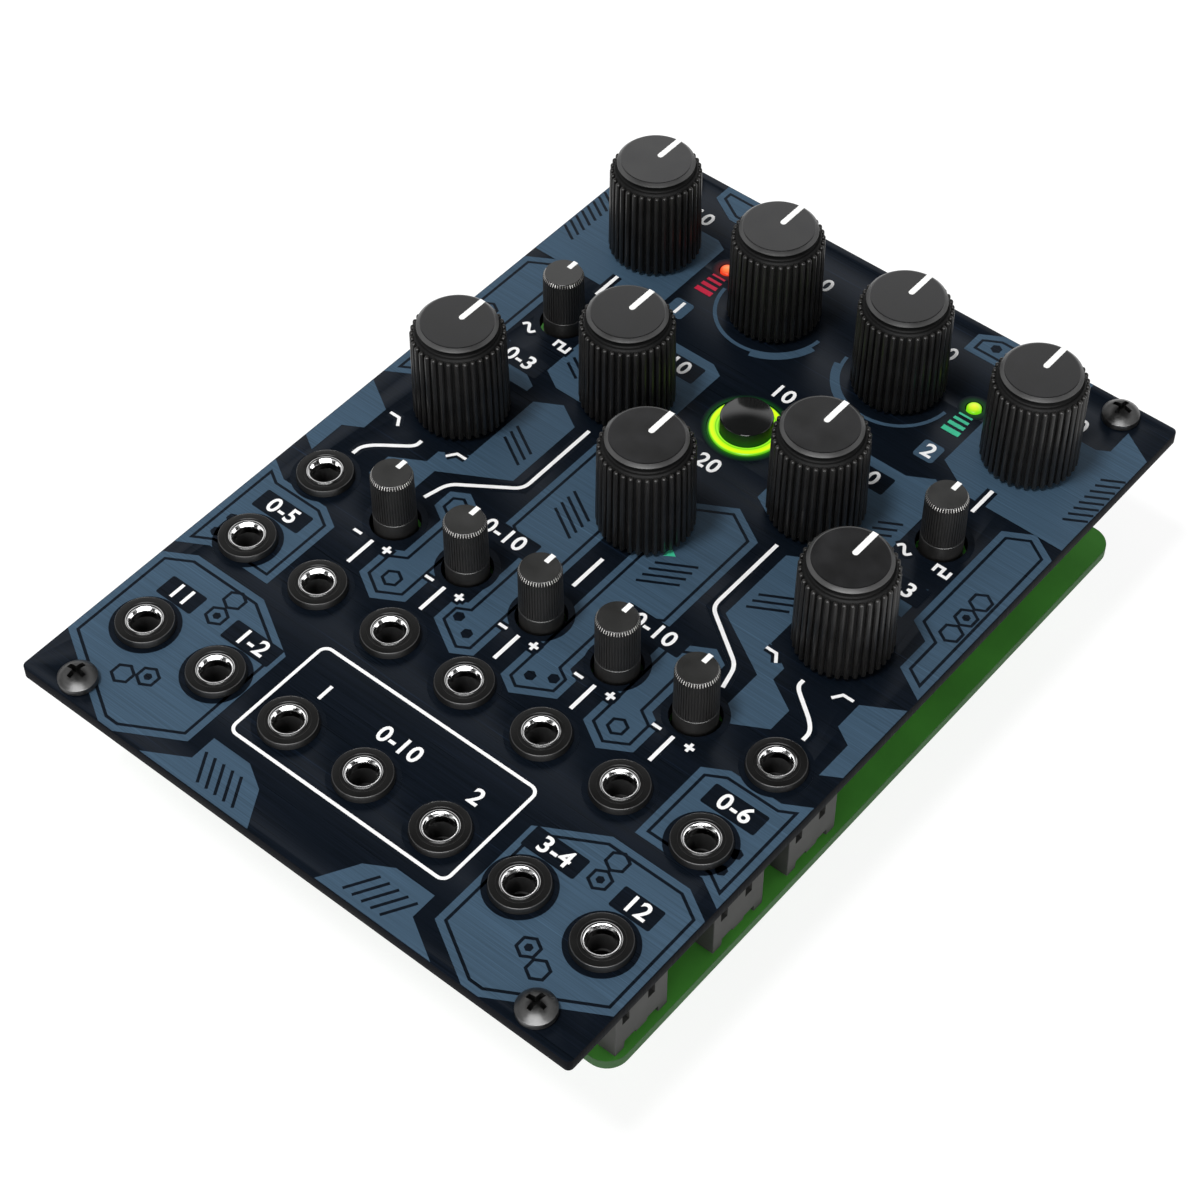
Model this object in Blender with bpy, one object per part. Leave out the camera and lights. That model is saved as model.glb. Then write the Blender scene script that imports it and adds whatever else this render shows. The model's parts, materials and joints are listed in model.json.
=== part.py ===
# Eurorack module, 3U high and 18 HP wide: a printed front panel that carries jack sockets,
# ribbed and knurled knobs, an illuminated push button and two lamps, on one circuit board.
# Frame: origin on the panel's back face, where it lies on the lower rail, midway between the
# sides and just above the lower edge. +X right, +Y up the panel, +Z out of the front.

from math import cos, radians, sin, tau

import bmesh
import bpy
from mathutils import Vector

# Units, and the scale at which meshes are joined, clear of the operators' tolerances
MM = 0.001
WORK_SCALE = 1000

# Clearances
SEAT_GAP = 0.3 * MM
CUT_OVERRUN = 1.0 * MM
SAME_POINT = 0.01 * MM

# Front panel
PANEL_WIDTH = 91.1 * MM
PANEL_HEIGHT = 128.5 * MM
PANEL_THICKNESS = 2.0 * MM
PANEL_CORNER_RADIUS = 0.8 * MM
ORIGIN_ABOVE_EDGE = 0.4 * MM

# Mounting slots and screws
MOUNT_COLUMN = 38.1 * MM
MOUNT_INSET = 3.0 * MM
SLOT_HEIGHT = 3.2 * MM
SLOT_LENGTH = 4.6 * MM
SCREW_SHANK_RADIUS = 1.3 * MM
SCREW_LENGTH = 6.0 * MM
SCREW_HEAD_RADIUS = 2.6 * MM
SCREW_HEAD_HEIGHT = 2.0 * MM
SCREW_HEAD_EDGE = 0.7 * MM

# Columns, as distances from the panel's middle line
JACK_PITCH = 12.7 * MM
OUTER_KNOB_COLUMN = 32.45 * MM
INNER_TOP_COLUMN = 10.8 * MM
UPPER_KNOB_COLUMN = 16.2 * MM
RED_LAMP_COLUMN = 20.8 * MM
GREEN_LAMP_COLUMN = 22.1 * MM

# Rows above the panel's lower edge, as shares of the height of a 3U panel
BOTTOM_JACK_ROW_SHARE = 14.8 / 128.5
MIDDLE_JACK_ROW_SHARE = 33.55 / 128.5
UPPER_JACK_ROW_SHARE = 48.45 / 128.5
HEADER_ROW_SHARE = 66.0 / 128.5
MIDDLE_KNOB_ROW_SHARE = 69.7 / 128.5
UPPER_KNOB_ROW_SHARE = 85.55 / 128.5
BUTTON_ROW_SHARE = 91.4 / 128.5
TOP_KNOB_ROW_SHARE = 111.65 / 128.5
LAMP_ROW_SHARE = 113.65 / 128.5

# Circuit board
BOARD_DEPTH = 10.8 * MM
BOARD_THICKNESS = 1.6 * MM
BOARD_SIDE_MARGIN = 0.6 * MM
BOARD_LOWER_MARGIN = 8.1 * MM
BOARD_UPPER_MARGIN = 11.5 * MM
BOARD_CORNER_RADIUS = 3.2 * MM

# Large knob
KNOB_FLUTES = 36
KNOB_BASE_RADIUS = 6.7 * MM
KNOB_TOP_RADIUS = 6.5 * MM
KNOB_FLUTE_DEPTH = 0.45 * MM
KNOB_LIFT = 0.5 * MM
KNOB_HEIGHT = 16.4 * MM
KNOB_RIB_TOP_DROP = 1.75 * MM
KNOB_LEDGE_RADIUS = 5.75 * MM
KNOB_LEDGE_RISE = 0.3 * MM
KNOB_NECK_RADIUS = 5.53 * MM
KNOB_NECK_DROP = 0.45 * MM
KNOB_DISC_RADIUS = 5.05 * MM
KNOB_RECESS_RADIUS = 5.3 * MM
KNOB_RECESS_DEPTH = 3.0 * MM

# Large potentiometer
SHAFT_RADIUS = 3.0 * MM
SHAFT_HOLE_CLEARANCE = 0.5 * MM
JOURNAL_RADIUS = 2.3 * MM
JOURNAL_LENGTH = 6.0 * MM
COLLAR_WALL = 0.9 * MM
COLLAR_DROP = 0.5 * MM
POT_WIDTH = 9.7 * MM
POT_LENGTH = 11.4 * MM
POT_OVERHANG = 1.0 * MM
POT_HEIGHT = 6.5 * MM

# Small knob
TRIM_FLUTES = 24
TRIM_BASE_RADIUS = 2.95 * MM
TRIM_TOP_RADIUS = 2.8 * MM
TRIM_FLUTE_DEPTH = 0.22 * MM
TRIM_HEIGHT = 9.4 * MM
TRIM_COLLAR_HEIGHT = 2.1 * MM
TRIM_CHAMFER = 0.2 * MM
TRIM_JOURNAL_RADIUS = 1.7 * MM
TRIM_HOLE_CLEARANCE = 0.5 * MM

# Small potentiometer
TRIM_POT_WIDTH = 9.5 * MM
TRIM_POT_LENGTH = 10.2 * MM

# Jack socket
JACK_BORE_RADIUS = 1.8 * MM
JACK_BORE_DEPTH = 12.0 * MM
JACK_THREAD_RADIUS = 2.9 * MM
JACK_BUSH_RADIUS = 2.55 * MM
JACK_BUSH_RISE = 1.2 * MM
JACK_FUNNEL_DEPTH = 0.7 * MM
JACK_NUT_RADIUS = 4.0 * MM
JACK_NUT_HEIGHT = 1.05 * MM
JACK_NUT_BEVEL = 0.16 * MM
JACK_BODY_WIDTH = 12.2 * MM
JACK_BODY_LENGTH = 9.85 * MM
JACK_FOOT_LENGTH = 1.7 * MM
JACK_FOOT_HEIGHT = 1.4 * MM
JACK_RIB_LENGTH = 2.1 * MM
JACK_RIB_HEIGHT = 0.65 * MM

# Push button, its light ring and its switch
CAP_RADIUS = 3.55 * MM
CAP_RISE = 2.75 * MM
CAP_DOME_HEIGHT = 0.55 * MM
CAP_TRAVEL = 0.5 * MM
RING_WALL = 1.3 * MM
RING_RISE = 0.25 * MM
SWITCH_SIDE = 11.0 * MM
SWITCH_TOP_DEPTH = 2.8 * MM

# Indicator lamps
LAMP_RADIUS = 1.05 * MM
LAMP_RISE = 1.0 * MM
LAMP_BODY_LENGTH = 4.0 * MM
LAMP_FLANGE_RADIUS = 1.5 * MM
LAMP_FLANGE_HEIGHT = 0.6 * MM
LAMP_LEAD_SIDE = 0.5 * MM
LAMP_LEAD_SPACING = 1.3 * MM

# Power header
PIN_PITCH = 2.54 * MM
PIN_COLUMNS = 5
PIN_ROWS = 2
PIN_SIDE = 0.64 * MM
PIN_STAND = 5.6 * MM
HEADER_END_ALLOWANCE = 10.2 * MM
HEADER_WIDTH = 8.9 * MM
HEADER_HEIGHT = 9.0 * MM
HEADER_WALL = 1.2 * MM
HEADER_FLOOR = 2.6 * MM
HEADER_KEY_WIDTH = 4.4 * MM

# Quarter-turn shares at which domes get a ring of points
CAP_DOME_SHARES = (0.0, 0.45, 0.85)
LAMP_DOME_SHARES = (0.0, 0.45, 0.8)
SCREW_DOME_SHARES = (0.0, 0.6)

# Facets round each kind of circle
KNOB_SIDES = 24
CAP_SIDES = 20
TRIM_SIDES = 12
SHAFT_SIDES = 10
BORE_SIDES = 10
CORNER_STEPS = 3
SMOOTH_ANGLE = radians(30)

# Rows and heights worked out from the sizes above
BOTTOM_JACK_ROW = BOTTOM_JACK_ROW_SHARE * PANEL_HEIGHT
MIDDLE_JACK_ROW = MIDDLE_JACK_ROW_SHARE * PANEL_HEIGHT
UPPER_JACK_ROW = UPPER_JACK_ROW_SHARE * PANEL_HEIGHT
HEADER_ROW = HEADER_ROW_SHARE * PANEL_HEIGHT
MIDDLE_KNOB_ROW = MIDDLE_KNOB_ROW_SHARE * PANEL_HEIGHT
UPPER_KNOB_ROW = UPPER_KNOB_ROW_SHARE * PANEL_HEIGHT
BUTTON_ROW = BUTTON_ROW_SHARE * PANEL_HEIGHT
TOP_KNOB_ROW = TOP_KNOB_ROW_SHARE * PANEL_HEIGHT
LAMP_ROW = LAMP_ROW_SHARE * PANEL_HEIGHT
PANEL_FRONT = PANEL_THICKNESS
BOARD_FRONT = -BOARD_DEPTH
BOARD_BACK = BOARD_FRONT - BOARD_THICKNESS
BOARD_SEAT = BOARD_FRONT + SEAT_GAP
COLLAR_TOP = -COLLAR_DROP
JOURNAL_SHOULDER = COLLAR_TOP + SEAT_GAP
JOURNAL_TIP = JOURNAL_SHOULDER - JOURNAL_LENGTH


def panel_height(above_edge):
    """Height in the part's frame of a row given above the panel's lower edge."""
    return above_edge - ORIGIN_ABOVE_EDGE


def material(name, color, roughness, metallic=0.0):
    """A plain Principled finish."""
    made = bpy.data.materials.new(name)
    made.use_nodes = True
    shader = made.node_tree.nodes["Principled BSDF"]
    shader.inputs["Base Color"].default_value = (*color, 1.0)
    shader.inputs["Roughness"].default_value = roughness
    shader.inputs["Metallic"].default_value = metallic
    made.diffuse_color = (*color, 1.0)
    return made


def circle_points(radius, height, sides):
    """Points of one level ring, counted from +X."""
    angles = [tau * step / sides for step in range(sides)]
    return [Vector((radius * cos(angle), radius * sin(angle), height)) for angle in angles]


def fluted_points(crest_radius, depth, height, flutes):
    """Points of a level ring whose ribs stand a flute's depth above the grooves."""
    points = []
    for step in range(2 * flutes):
        radius = crest_radius - (step % 2) * depth
        angle = tau * step / (2 * flutes)
        points.append(Vector((radius * cos(angle), radius * sin(angle), height)))
    return points


def stitch(mesh, lower, upper):
    """Faces between two rings of corners, which needn't have the same number."""
    below = above = 0
    while below < len(lower) or above < len(upper):
        start, end = lower[below % len(lower)], upper[above % len(upper)]
        next_start = lower[(below + 1) % len(lower)]
        next_end = upper[(above + 1) % len(upper)]
        lead = (below + 1) * len(upper) - (above + 1) * len(lower)
        if lead == 0:
            mesh.faces.new((start, next_start, next_end, end))
        elif lead < 0:
            mesh.faces.new((start, next_start, end))
        else:
            mesh.faces.new((start, next_end, end))
        below += lead <= 0
        above += lead >= 0


def stacked(name, rings):
    """A closed mesh through rings in order from the bottom, with its two ends capped."""
    mesh = bmesh.new()
    levels = [[mesh.verts.new(point * WORK_SCALE) for point in points] for points in rings]
    for lower, upper in zip(levels, levels[1:]):
        stitch(mesh, lower, upper)
    mesh.faces.new(reversed(levels[0]))
    mesh.faces.new(levels[-1])
    return finished(name, mesh)


def extruded(name, outline, start, length, axis):
    """A closed mesh of an outline drawn across an axis and drawn out along it."""
    along = Vector(axis) * WORK_SCALE
    mesh = bmesh.new()
    corners = [mesh.verts.new(point * WORK_SCALE + along * start) for point in outline]
    face = mesh.faces.new(corners)
    drawn = bmesh.ops.extrude_face_region(mesh, geom=[face])
    end = [item for item in drawn["geom"] if isinstance(item, bmesh.types.BMVert)]
    bmesh.ops.translate(mesh, verts=end, vec=along * length)
    return finished(name, mesh)


def finished(name, mesh):
    """The mesh data at its real size, with its faces turned outwards."""
    bmesh.ops.recalc_face_normals(mesh, faces=mesh.faces)
    bmesh.ops.scale(mesh, vec=Vector.Fill(3, 1 / WORK_SCALE), verts=mesh.verts)
    data = bpy.data.meshes.new(name)
    mesh.to_mesh(data)
    mesh.free()
    return data


def rounded_rectangle(width, height, radius, centre=(0.0, 0.0)):
    """Corner points of a rectangle whose corners are arcs, in the XY plane."""
    points = []
    corners = ((1, 1), (-1, 1), (-1, -1), (1, -1))
    for quarter, (side_x, side_y) in enumerate(corners):
        x = centre[0] + side_x * (width / 2 - radius)
        y = centre[1] + side_y * (height / 2 - radius)
        for step in range(CORNER_STEPS + 1):
            angle = (quarter + step / CORNER_STEPS) * tau / 4
            point = Vector((x + radius * cos(angle), y + radius * sin(angle), 0.0))
            if not points or (point - points[-1]).length > SAME_POINT:
                points.append(point)
    if (points[0] - points[-1]).length < SAME_POINT:
        points.pop()
    return points


def box(name, size, centre):
    """A box mesh of a size about a centre."""
    half = [length / 2 for length in size]
    outline = [
        Vector((centre[0] + x * half[0], centre[1] + y * half[1], 0.0))
        for x, y in ((-1, -1), (1, -1), (1, 1), (-1, 1))
    ]
    return extruded(name, outline, centre[2] - half[2], size[2], (0.0, 0.0, 1.0))


def moved(data, offset):
    """The mesh shifted in its own frame."""
    for vertex in data.vertices:
        vertex.co += Vector(offset)
    return data


def joined(name, meshes):
    """Several meshes that stay apart, as one cutter."""
    whole = bmesh.new()
    for data in meshes:
        whole.from_mesh(data)
    made = bpy.data.meshes.new(name)
    whole.to_mesh(made)
    whole.free()
    return made


def combined(name, base, steps):
    """The mesh left after Boolean steps, each a kind and the mesh that it works with."""
    body = bpy.data.objects.new(name, base)
    bpy.context.collection.objects.link(body)
    tools = []
    for kind, data in steps:
        tool = bpy.data.objects.new(name + "_tool", data)
        bpy.context.collection.objects.link(tool)
        tool.hide_render = True
        tool.display_type = "WIRE"
        tools.append(tool)
        modifier = body.modifiers.new(kind.lower(), "BOOLEAN")
        modifier.operation = kind
        modifier.solver = "EXACT"
        modifier.object = tool
    graph = bpy.context.evaluated_depsgraph_get()
    result = bpy.data.meshes.new_from_object(body.evaluated_get(graph))
    for item in [body, *tools]:
        bpy.data.objects.remove(item)
    return result


def place(name, data, finish, position=(0.0, 0.0, 0.0)):
    """One named piece of the module at its place."""
    piece = bpy.data.objects.new(name, data)
    bpy.context.collection.objects.link(piece)
    piece.location = position
    if not data.materials:
        data.materials.append(finish)
    data.shade_smooth()
    data.set_sharp_from_angle(angle=SMOOTH_ANGLE)
    return piece


def cylinder(name, radius, low, high, sides, centre=(0.0, 0.0)):
    """A closed cylinder along Z between two heights."""
    made = stacked(name, [circle_points(radius, z, sides) for z in (low, high)])
    return moved(made, (centre[0], centre[1], 0.0))


# Layout: every control's name and place on the panel
def row_of(prefix, columns, row):
    """Names and places of controls in a row, numbered from the left."""
    places = {}
    for number, column in enumerate(sorted(columns), start=1):
        places[f"{prefix}_{number}"] = (column, panel_height(row), 0.0)
    return places


JACK_COLUMNS = [JACK_PITCH * step for step in range(-3, 4)]
JACKS = {
    **row_of("bottom", JACK_COLUMNS, BOTTOM_JACK_ROW),
    **row_of("middle", JACK_COLUMNS, MIDDLE_JACK_ROW),
    **row_of("upper", [JACK_COLUMNS[0], JACK_COLUMNS[-1]], UPPER_JACK_ROW),
}
OUTER_PAIR = [-OUTER_KNOB_COLUMN, OUTER_KNOB_COLUMN]
LARGE_KNOBS = {
    **row_of("top", OUTER_PAIR + [-INNER_TOP_COLUMN, INNER_TOP_COLUMN], TOP_KNOB_ROW),
    **row_of("upper", [-UPPER_KNOB_COLUMN, UPPER_KNOB_COLUMN], UPPER_KNOB_ROW),
    **row_of("middle", [*OUTER_PAIR, 0.0], MIDDLE_KNOB_ROW),
}
SMALL_KNOBS = {
    **row_of("side", OUTER_PAIR, BUTTON_ROW),
    **row_of("lower", JACK_COLUMNS[1:-1], UPPER_JACK_ROW),
}
LAMPS = {
    "lamp_red": (-RED_LAMP_COLUMN, panel_height(LAMP_ROW), 0.0),
    "lamp_green": (GREEN_LAMP_COLUMN, panel_height(LAMP_ROW), 0.0),
}
BUTTON = (0.0, panel_height(BUTTON_ROW), 0.0)
SCREW_ROWS = {"lower": MOUNT_INSET, "upper": PANEL_HEIGHT - MOUNT_INSET}
SCREWS = {
    f"{level}_{side}": (sign * MOUNT_COLUMN, panel_height(row), 0.0)
    for level, row in SCREW_ROWS.items()
    for side, sign in (("left", -1), ("right", 1))
}


def front_panel():
    """The flat plate with every hole that a control passes through."""
    middle = (0.0, panel_height(PANEL_HEIGHT / 2))
    outline = rounded_rectangle(PANEL_WIDTH, PANEL_HEIGHT, PANEL_CORNER_RADIUS, middle)
    plate = extruded("front_panel", outline, 0.0, PANEL_THICKNESS, (0.0, 0.0, 1.0))
    low, high = -CUT_OVERRUN, PANEL_FRONT + CUT_OVERRUN
    holes = []

    def drill(places, radius, sides):
        for x, y, _ in places:
            holes.append(cylinder("hole", radius, low, high, sides, (x, y)))

    drill(JACKS.values(), JACK_THREAD_RADIUS + SEAT_GAP, BORE_SIDES)
    drill(LARGE_KNOBS.values(), SHAFT_RADIUS + SHAFT_HOLE_CLEARANCE, BORE_SIDES)
    drill(SMALL_KNOBS.values(), TRIM_BASE_RADIUS + TRIM_HOLE_CLEARANCE, BORE_SIDES)
    drill(LAMPS.values(), LAMP_RADIUS + SEAT_GAP, BORE_SIDES)
    drill([BUTTON], CAP_RADIUS + SEAT_GAP + RING_WALL + SEAT_GAP, CAP_SIDES)
    for x, y, _ in SCREWS.values():
        slot = rounded_rectangle(SLOT_LENGTH, SLOT_HEIGHT, SLOT_HEIGHT / 2, (x, y))
        holes.append(extruded("slot", slot, low, high - low, (0.0, 0.0, 1.0)))
    return combined("front_panel", plate, [("DIFFERENCE", joined("holes", holes))])


def circuit_board():
    """The green board that carries every control."""
    width = PANEL_WIDTH - 2 * BOARD_SIDE_MARGIN
    height = PANEL_HEIGHT - BOARD_LOWER_MARGIN - BOARD_UPPER_MARGIN
    middle = (0.0, panel_height(BOARD_LOWER_MARGIN + height / 2))
    outline = rounded_rectangle(width, height, BOARD_CORNER_RADIUS, middle)
    return extruded("circuit_board", outline, BOARD_BACK, BOARD_THICKNESS, (0.0, 0.0, 1.0))


def large_knob():
    """Ribbed skirt with a stepped cap and an open underside, on its shaft."""
    base = PANEL_FRONT + KNOB_LIFT
    top = PANEL_FRONT + KNOB_HEIGHT
    rib_top = top - KNOB_RIB_TOP_DROP
    roof = base + KNOB_RECESS_DEPTH
    return stacked(
        "large_knob",
        [
            circle_points(JOURNAL_RADIUS, JOURNAL_TIP, SHAFT_SIDES),
            circle_points(JOURNAL_RADIUS, JOURNAL_SHOULDER, SHAFT_SIDES),
            circle_points(SHAFT_RADIUS, JOURNAL_SHOULDER, SHAFT_SIDES),
            circle_points(SHAFT_RADIUS, roof, SHAFT_SIDES),
            circle_points(KNOB_RECESS_RADIUS, roof, SHAFT_SIDES),
            circle_points(KNOB_RECESS_RADIUS, base, SHAFT_SIDES),
            fluted_points(KNOB_BASE_RADIUS, KNOB_FLUTE_DEPTH, base, KNOB_FLUTES),
            fluted_points(KNOB_TOP_RADIUS, KNOB_FLUTE_DEPTH, rib_top, KNOB_FLUTES),
            circle_points(KNOB_LEDGE_RADIUS, rib_top + KNOB_LEDGE_RISE, KNOB_SIDES),
            circle_points(KNOB_NECK_RADIUS, top - KNOB_NECK_DROP, KNOB_SIDES),
            circle_points(KNOB_DISC_RADIUS, top, KNOB_SIDES),
        ],
    )


def large_pot():
    """Potentiometer body with the collar that the shaft turns in."""
    top = BOARD_SEAT + POT_HEIGHT
    middle = (0.0, -POT_OVERHANG, BOARD_SEAT + POT_HEIGHT / 2)
    body = box("large_pot", (POT_WIDTH, POT_LENGTH, POT_HEIGHT), middle)
    bore = JOURNAL_RADIUS + SEAT_GAP
    collar = cylinder(
        "collar", bore + COLLAR_WALL, top - CUT_OVERRUN, COLLAR_TOP, SHAFT_SIDES
    )
    hole = cylinder(
        "bore", bore, JOURNAL_TIP - SEAT_GAP, COLLAR_TOP + CUT_OVERRUN, SHAFT_SIDES
    )
    return combined("large_pot", body, [("UNION", collar), ("DIFFERENCE", hole)])


def small_knob():
    """Slim knurled knob with a plain collar, on its journal."""
    top = PANEL_FRONT + TRIM_HEIGHT
    collar_top = PANEL_FRONT + TRIM_COLLAR_HEIGHT
    crest = TRIM_BASE_RADIUS
    return stacked(
        "small_knob",
        [
            circle_points(TRIM_JOURNAL_RADIUS, JOURNAL_TIP, SHAFT_SIDES),
            circle_points(TRIM_JOURNAL_RADIUS, JOURNAL_SHOULDER, SHAFT_SIDES),
            circle_points(crest, JOURNAL_SHOULDER, TRIM_SIDES),
            circle_points(crest, collar_top, TRIM_SIDES),
            fluted_points(crest, TRIM_FLUTE_DEPTH, collar_top + TRIM_CHAMFER, TRIM_FLUTES),
            fluted_points(TRIM_TOP_RADIUS, TRIM_FLUTE_DEPTH, top - TRIM_CHAMFER, TRIM_FLUTES),
            circle_points(TRIM_TOP_RADIUS - TRIM_CHAMFER, top, TRIM_SIDES),
        ],
    )


def small_pot():
    """Small potentiometer body with its collar."""
    top = BOARD_SEAT + POT_HEIGHT
    middle = (0.0, 0.0, BOARD_SEAT + POT_HEIGHT / 2)
    body = box("small_pot", (TRIM_POT_WIDTH, TRIM_POT_LENGTH, POT_HEIGHT), middle)
    bore = TRIM_JOURNAL_RADIUS + SEAT_GAP
    collar = cylinder(
        "collar", bore + COLLAR_WALL, top - CUT_OVERRUN, COLLAR_TOP, SHAFT_SIDES
    )
    hole = cylinder(
        "bore", bore, JOURNAL_TIP - SEAT_GAP, COLLAR_TOP + CUT_OVERRUN, SHAFT_SIDES
    )
    return combined("small_pot", body, [("UNION", collar), ("DIFFERENCE", hole)])


def jack_socket():
    """Moulded housing on feet, threaded bush through the panel, and its round nut."""
    half = JACK_BODY_LENGTH / 2
    foot = half - JACK_FOOT_LENGTH
    rib = JACK_RIB_LENGTH / 2
    ground = BOARD_SEAT
    belly = ground + JACK_FOOT_HEIGHT
    keel = belly - JACK_RIB_HEIGHT
    profile = [
        (-half, ground), (-foot, ground), (-foot, belly), (-rib, belly), (-rib, keel),
        (rib, keel), (rib, belly), (foot, belly), (foot, ground), (half, ground),
        (half, -SEAT_GAP), (-half, -SEAT_GAP),
    ]
    outline = [Vector((0.0, y, z)) for y, z in profile]
    housing = extruded(
        "jack", outline, -JACK_BODY_WIDTH / 2, JACK_BODY_WIDTH, (1.0, 0.0, 0.0)
    )
    seat = PANEL_FRONT + SEAT_GAP
    nut_top = PANEL_FRONT + JACK_NUT_HEIGHT
    bush_top = PANEL_FRONT + JACK_BUSH_RISE
    bush = stacked(
        "bush",
        [
            circle_points(JACK_THREAD_RADIUS, -CUT_OVERRUN, BORE_SIDES),
            circle_points(JACK_THREAD_RADIUS, seat, BORE_SIDES),
            circle_points(JACK_NUT_RADIUS, seat, TRIM_SIDES),
            circle_points(JACK_NUT_RADIUS, nut_top - JACK_NUT_BEVEL, TRIM_SIDES),
            circle_points(JACK_NUT_RADIUS - JACK_NUT_BEVEL, nut_top, TRIM_SIDES),
            circle_points(JACK_BUSH_RADIUS, nut_top, BORE_SIDES),
            circle_points(JACK_BUSH_RADIUS, bush_top, BORE_SIDES),
        ],
    )
    floor = bush_top - JACK_BORE_DEPTH
    mouth = bush_top + SEAT_GAP
    bore = stacked(
        "bore",
        [
            circle_points(JACK_BORE_RADIUS, floor, BORE_SIDES),
            circle_points(JACK_BORE_RADIUS, bush_top - JACK_FUNNEL_DEPTH, BORE_SIDES),
            circle_points(JACK_BUSH_RADIUS, mouth, BORE_SIDES),
        ],
    )
    return combined("jack", housing, [("UNION", bush), ("DIFFERENCE", bore)])


def button_cap():
    """Domed cap that slides in the light ring."""
    crown = PANEL_FRONT + CAP_RISE
    shoulder = crown - CAP_DOME_HEIGHT
    foot = -SWITCH_TOP_DEPTH + SEAT_GAP + CAP_TRAVEL
    dome = []
    for share in CAP_DOME_SHARES:
        angle = share * tau / 4
        dome.append(
            circle_points(
                CAP_RADIUS * cos(angle), shoulder + CAP_DOME_HEIGHT * sin(angle), CAP_SIDES
            )
        )
    return stacked("button_cap", [circle_points(CAP_RADIUS, foot, CAP_SIDES), *dome])


def light_ring():
    """Translucent ring that stands on the switch and passes through the panel."""
    inner = CAP_RADIUS + SEAT_GAP
    outer = inner + RING_WALL
    low = -SWITCH_TOP_DEPTH + SEAT_GAP
    high = PANEL_FRONT + RING_RISE
    tube = cylinder("light_ring", outer, low, high, CAP_SIDES)
    bore = cylinder("bore", inner, low - CUT_OVERRUN, high + CUT_OVERRUN, CAP_SIDES)
    return combined("light_ring", tube, [("DIFFERENCE", bore)])


def switch_body():
    """Square switch under the button."""
    height = -SWITCH_TOP_DEPTH - BOARD_SEAT
    middle = (0.0, 0.0, BOARD_SEAT + height / 2)
    return box("switch_body", (SWITCH_SIDE, SWITCH_SIDE, height), middle)


def lamp():
    """Round lens with its flange, on two leads that reach the board."""
    shoulder = PANEL_FRONT + LAMP_RISE - LAMP_RADIUS
    base = shoulder - LAMP_BODY_LENGTH
    flange = base + LAMP_FLANGE_HEIGHT
    rings = [
        circle_points(LAMP_FLANGE_RADIUS, base, BORE_SIDES),
        circle_points(LAMP_FLANGE_RADIUS, flange, BORE_SIDES),
        circle_points(LAMP_RADIUS, flange, BORE_SIDES),
    ]
    for share in LAMP_DOME_SHARES:
        angle = share * tau / 4
        rings.append(
            circle_points(
                LAMP_RADIUS * cos(angle), shoulder + LAMP_RADIUS * sin(angle), BORE_SIDES
            )
        )
    lens = stacked("lamp", rings)
    length = flange - BOARD_SEAT
    leads = [
        box(
            "lead",
            (LAMP_LEAD_SIDE, LAMP_LEAD_SIDE, length),
            (side * LAMP_LEAD_SPACING / 2, 0.0, BOARD_SEAT + length / 2),
        )
        for side in (-1, 1)
    ]
    return combined("lamp", lens, [("UNION", joined("leads", leads))])


def mounting_screw():
    """Pan-head screw through a mounting slot."""
    seat = PANEL_FRONT + SEAT_GAP
    crown = seat + SCREW_HEAD_HEIGHT
    rings = [
        circle_points(SCREW_SHANK_RADIUS, seat - SCREW_LENGTH, BORE_SIDES),
        circle_points(SCREW_SHANK_RADIUS, seat, BORE_SIDES),
        circle_points(SCREW_HEAD_RADIUS, seat, BORE_SIDES),
    ]
    shoulder = seat + SCREW_HEAD_EDGE
    for share in SCREW_DOME_SHARES:
        angle = share * tau / 4
        rings.append(
            circle_points(
                SCREW_HEAD_RADIUS * cos(angle),
                shoulder + (crown - shoulder) * sin(angle),
                BORE_SIDES,
            )
        )
    return stacked("mounting_screw", rings)


def power_header():
    """Shrouded pin header on the back of the board, keyed on one side."""
    length = (PIN_COLUMNS - 1) * PIN_PITCH + HEADER_END_ALLOWANCE
    seat = BOARD_BACK - SEAT_GAP
    row = panel_height(HEADER_ROW)
    shroud = box(
        "power_header",
        (length, HEADER_WIDTH, HEADER_HEIGHT),
        (0.0, row, seat - HEADER_HEIGHT / 2),
    )
    floor = seat - HEADER_FLOOR
    mouth = seat - HEADER_HEIGHT - CUT_OVERRUN
    cavity = box(
        "cavity",
        (length - 2 * HEADER_WALL, HEADER_WIDTH - 2 * HEADER_WALL, floor - mouth),
        (0.0, row, (floor + mouth) / 2),
    )
    key = box(
        "key",
        (HEADER_KEY_WIDTH, 2 * HEADER_WALL, floor - mouth),
        (0.0, row - HEADER_WIDTH / 2, (floor + mouth) / 2),
    )
    pins = []
    for column in range(PIN_COLUMNS):
        for line in range(PIN_ROWS):
            x = (column - (PIN_COLUMNS - 1) / 2) * PIN_PITCH
            y = row + (line - (PIN_ROWS - 1) / 2) * PIN_PITCH
            root = floor + HEADER_FLOOR / 2
            tip = floor - PIN_STAND
            pins.append(
                box("pin", (PIN_SIDE, PIN_SIDE, root - tip), (x, y, (root + tip) / 2))
            )
    steps = [("DIFFERENCE", cavity), ("DIFFERENCE", key), ("UNION", joined("pins", pins))]
    return combined("power_header", shroud, steps)


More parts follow.
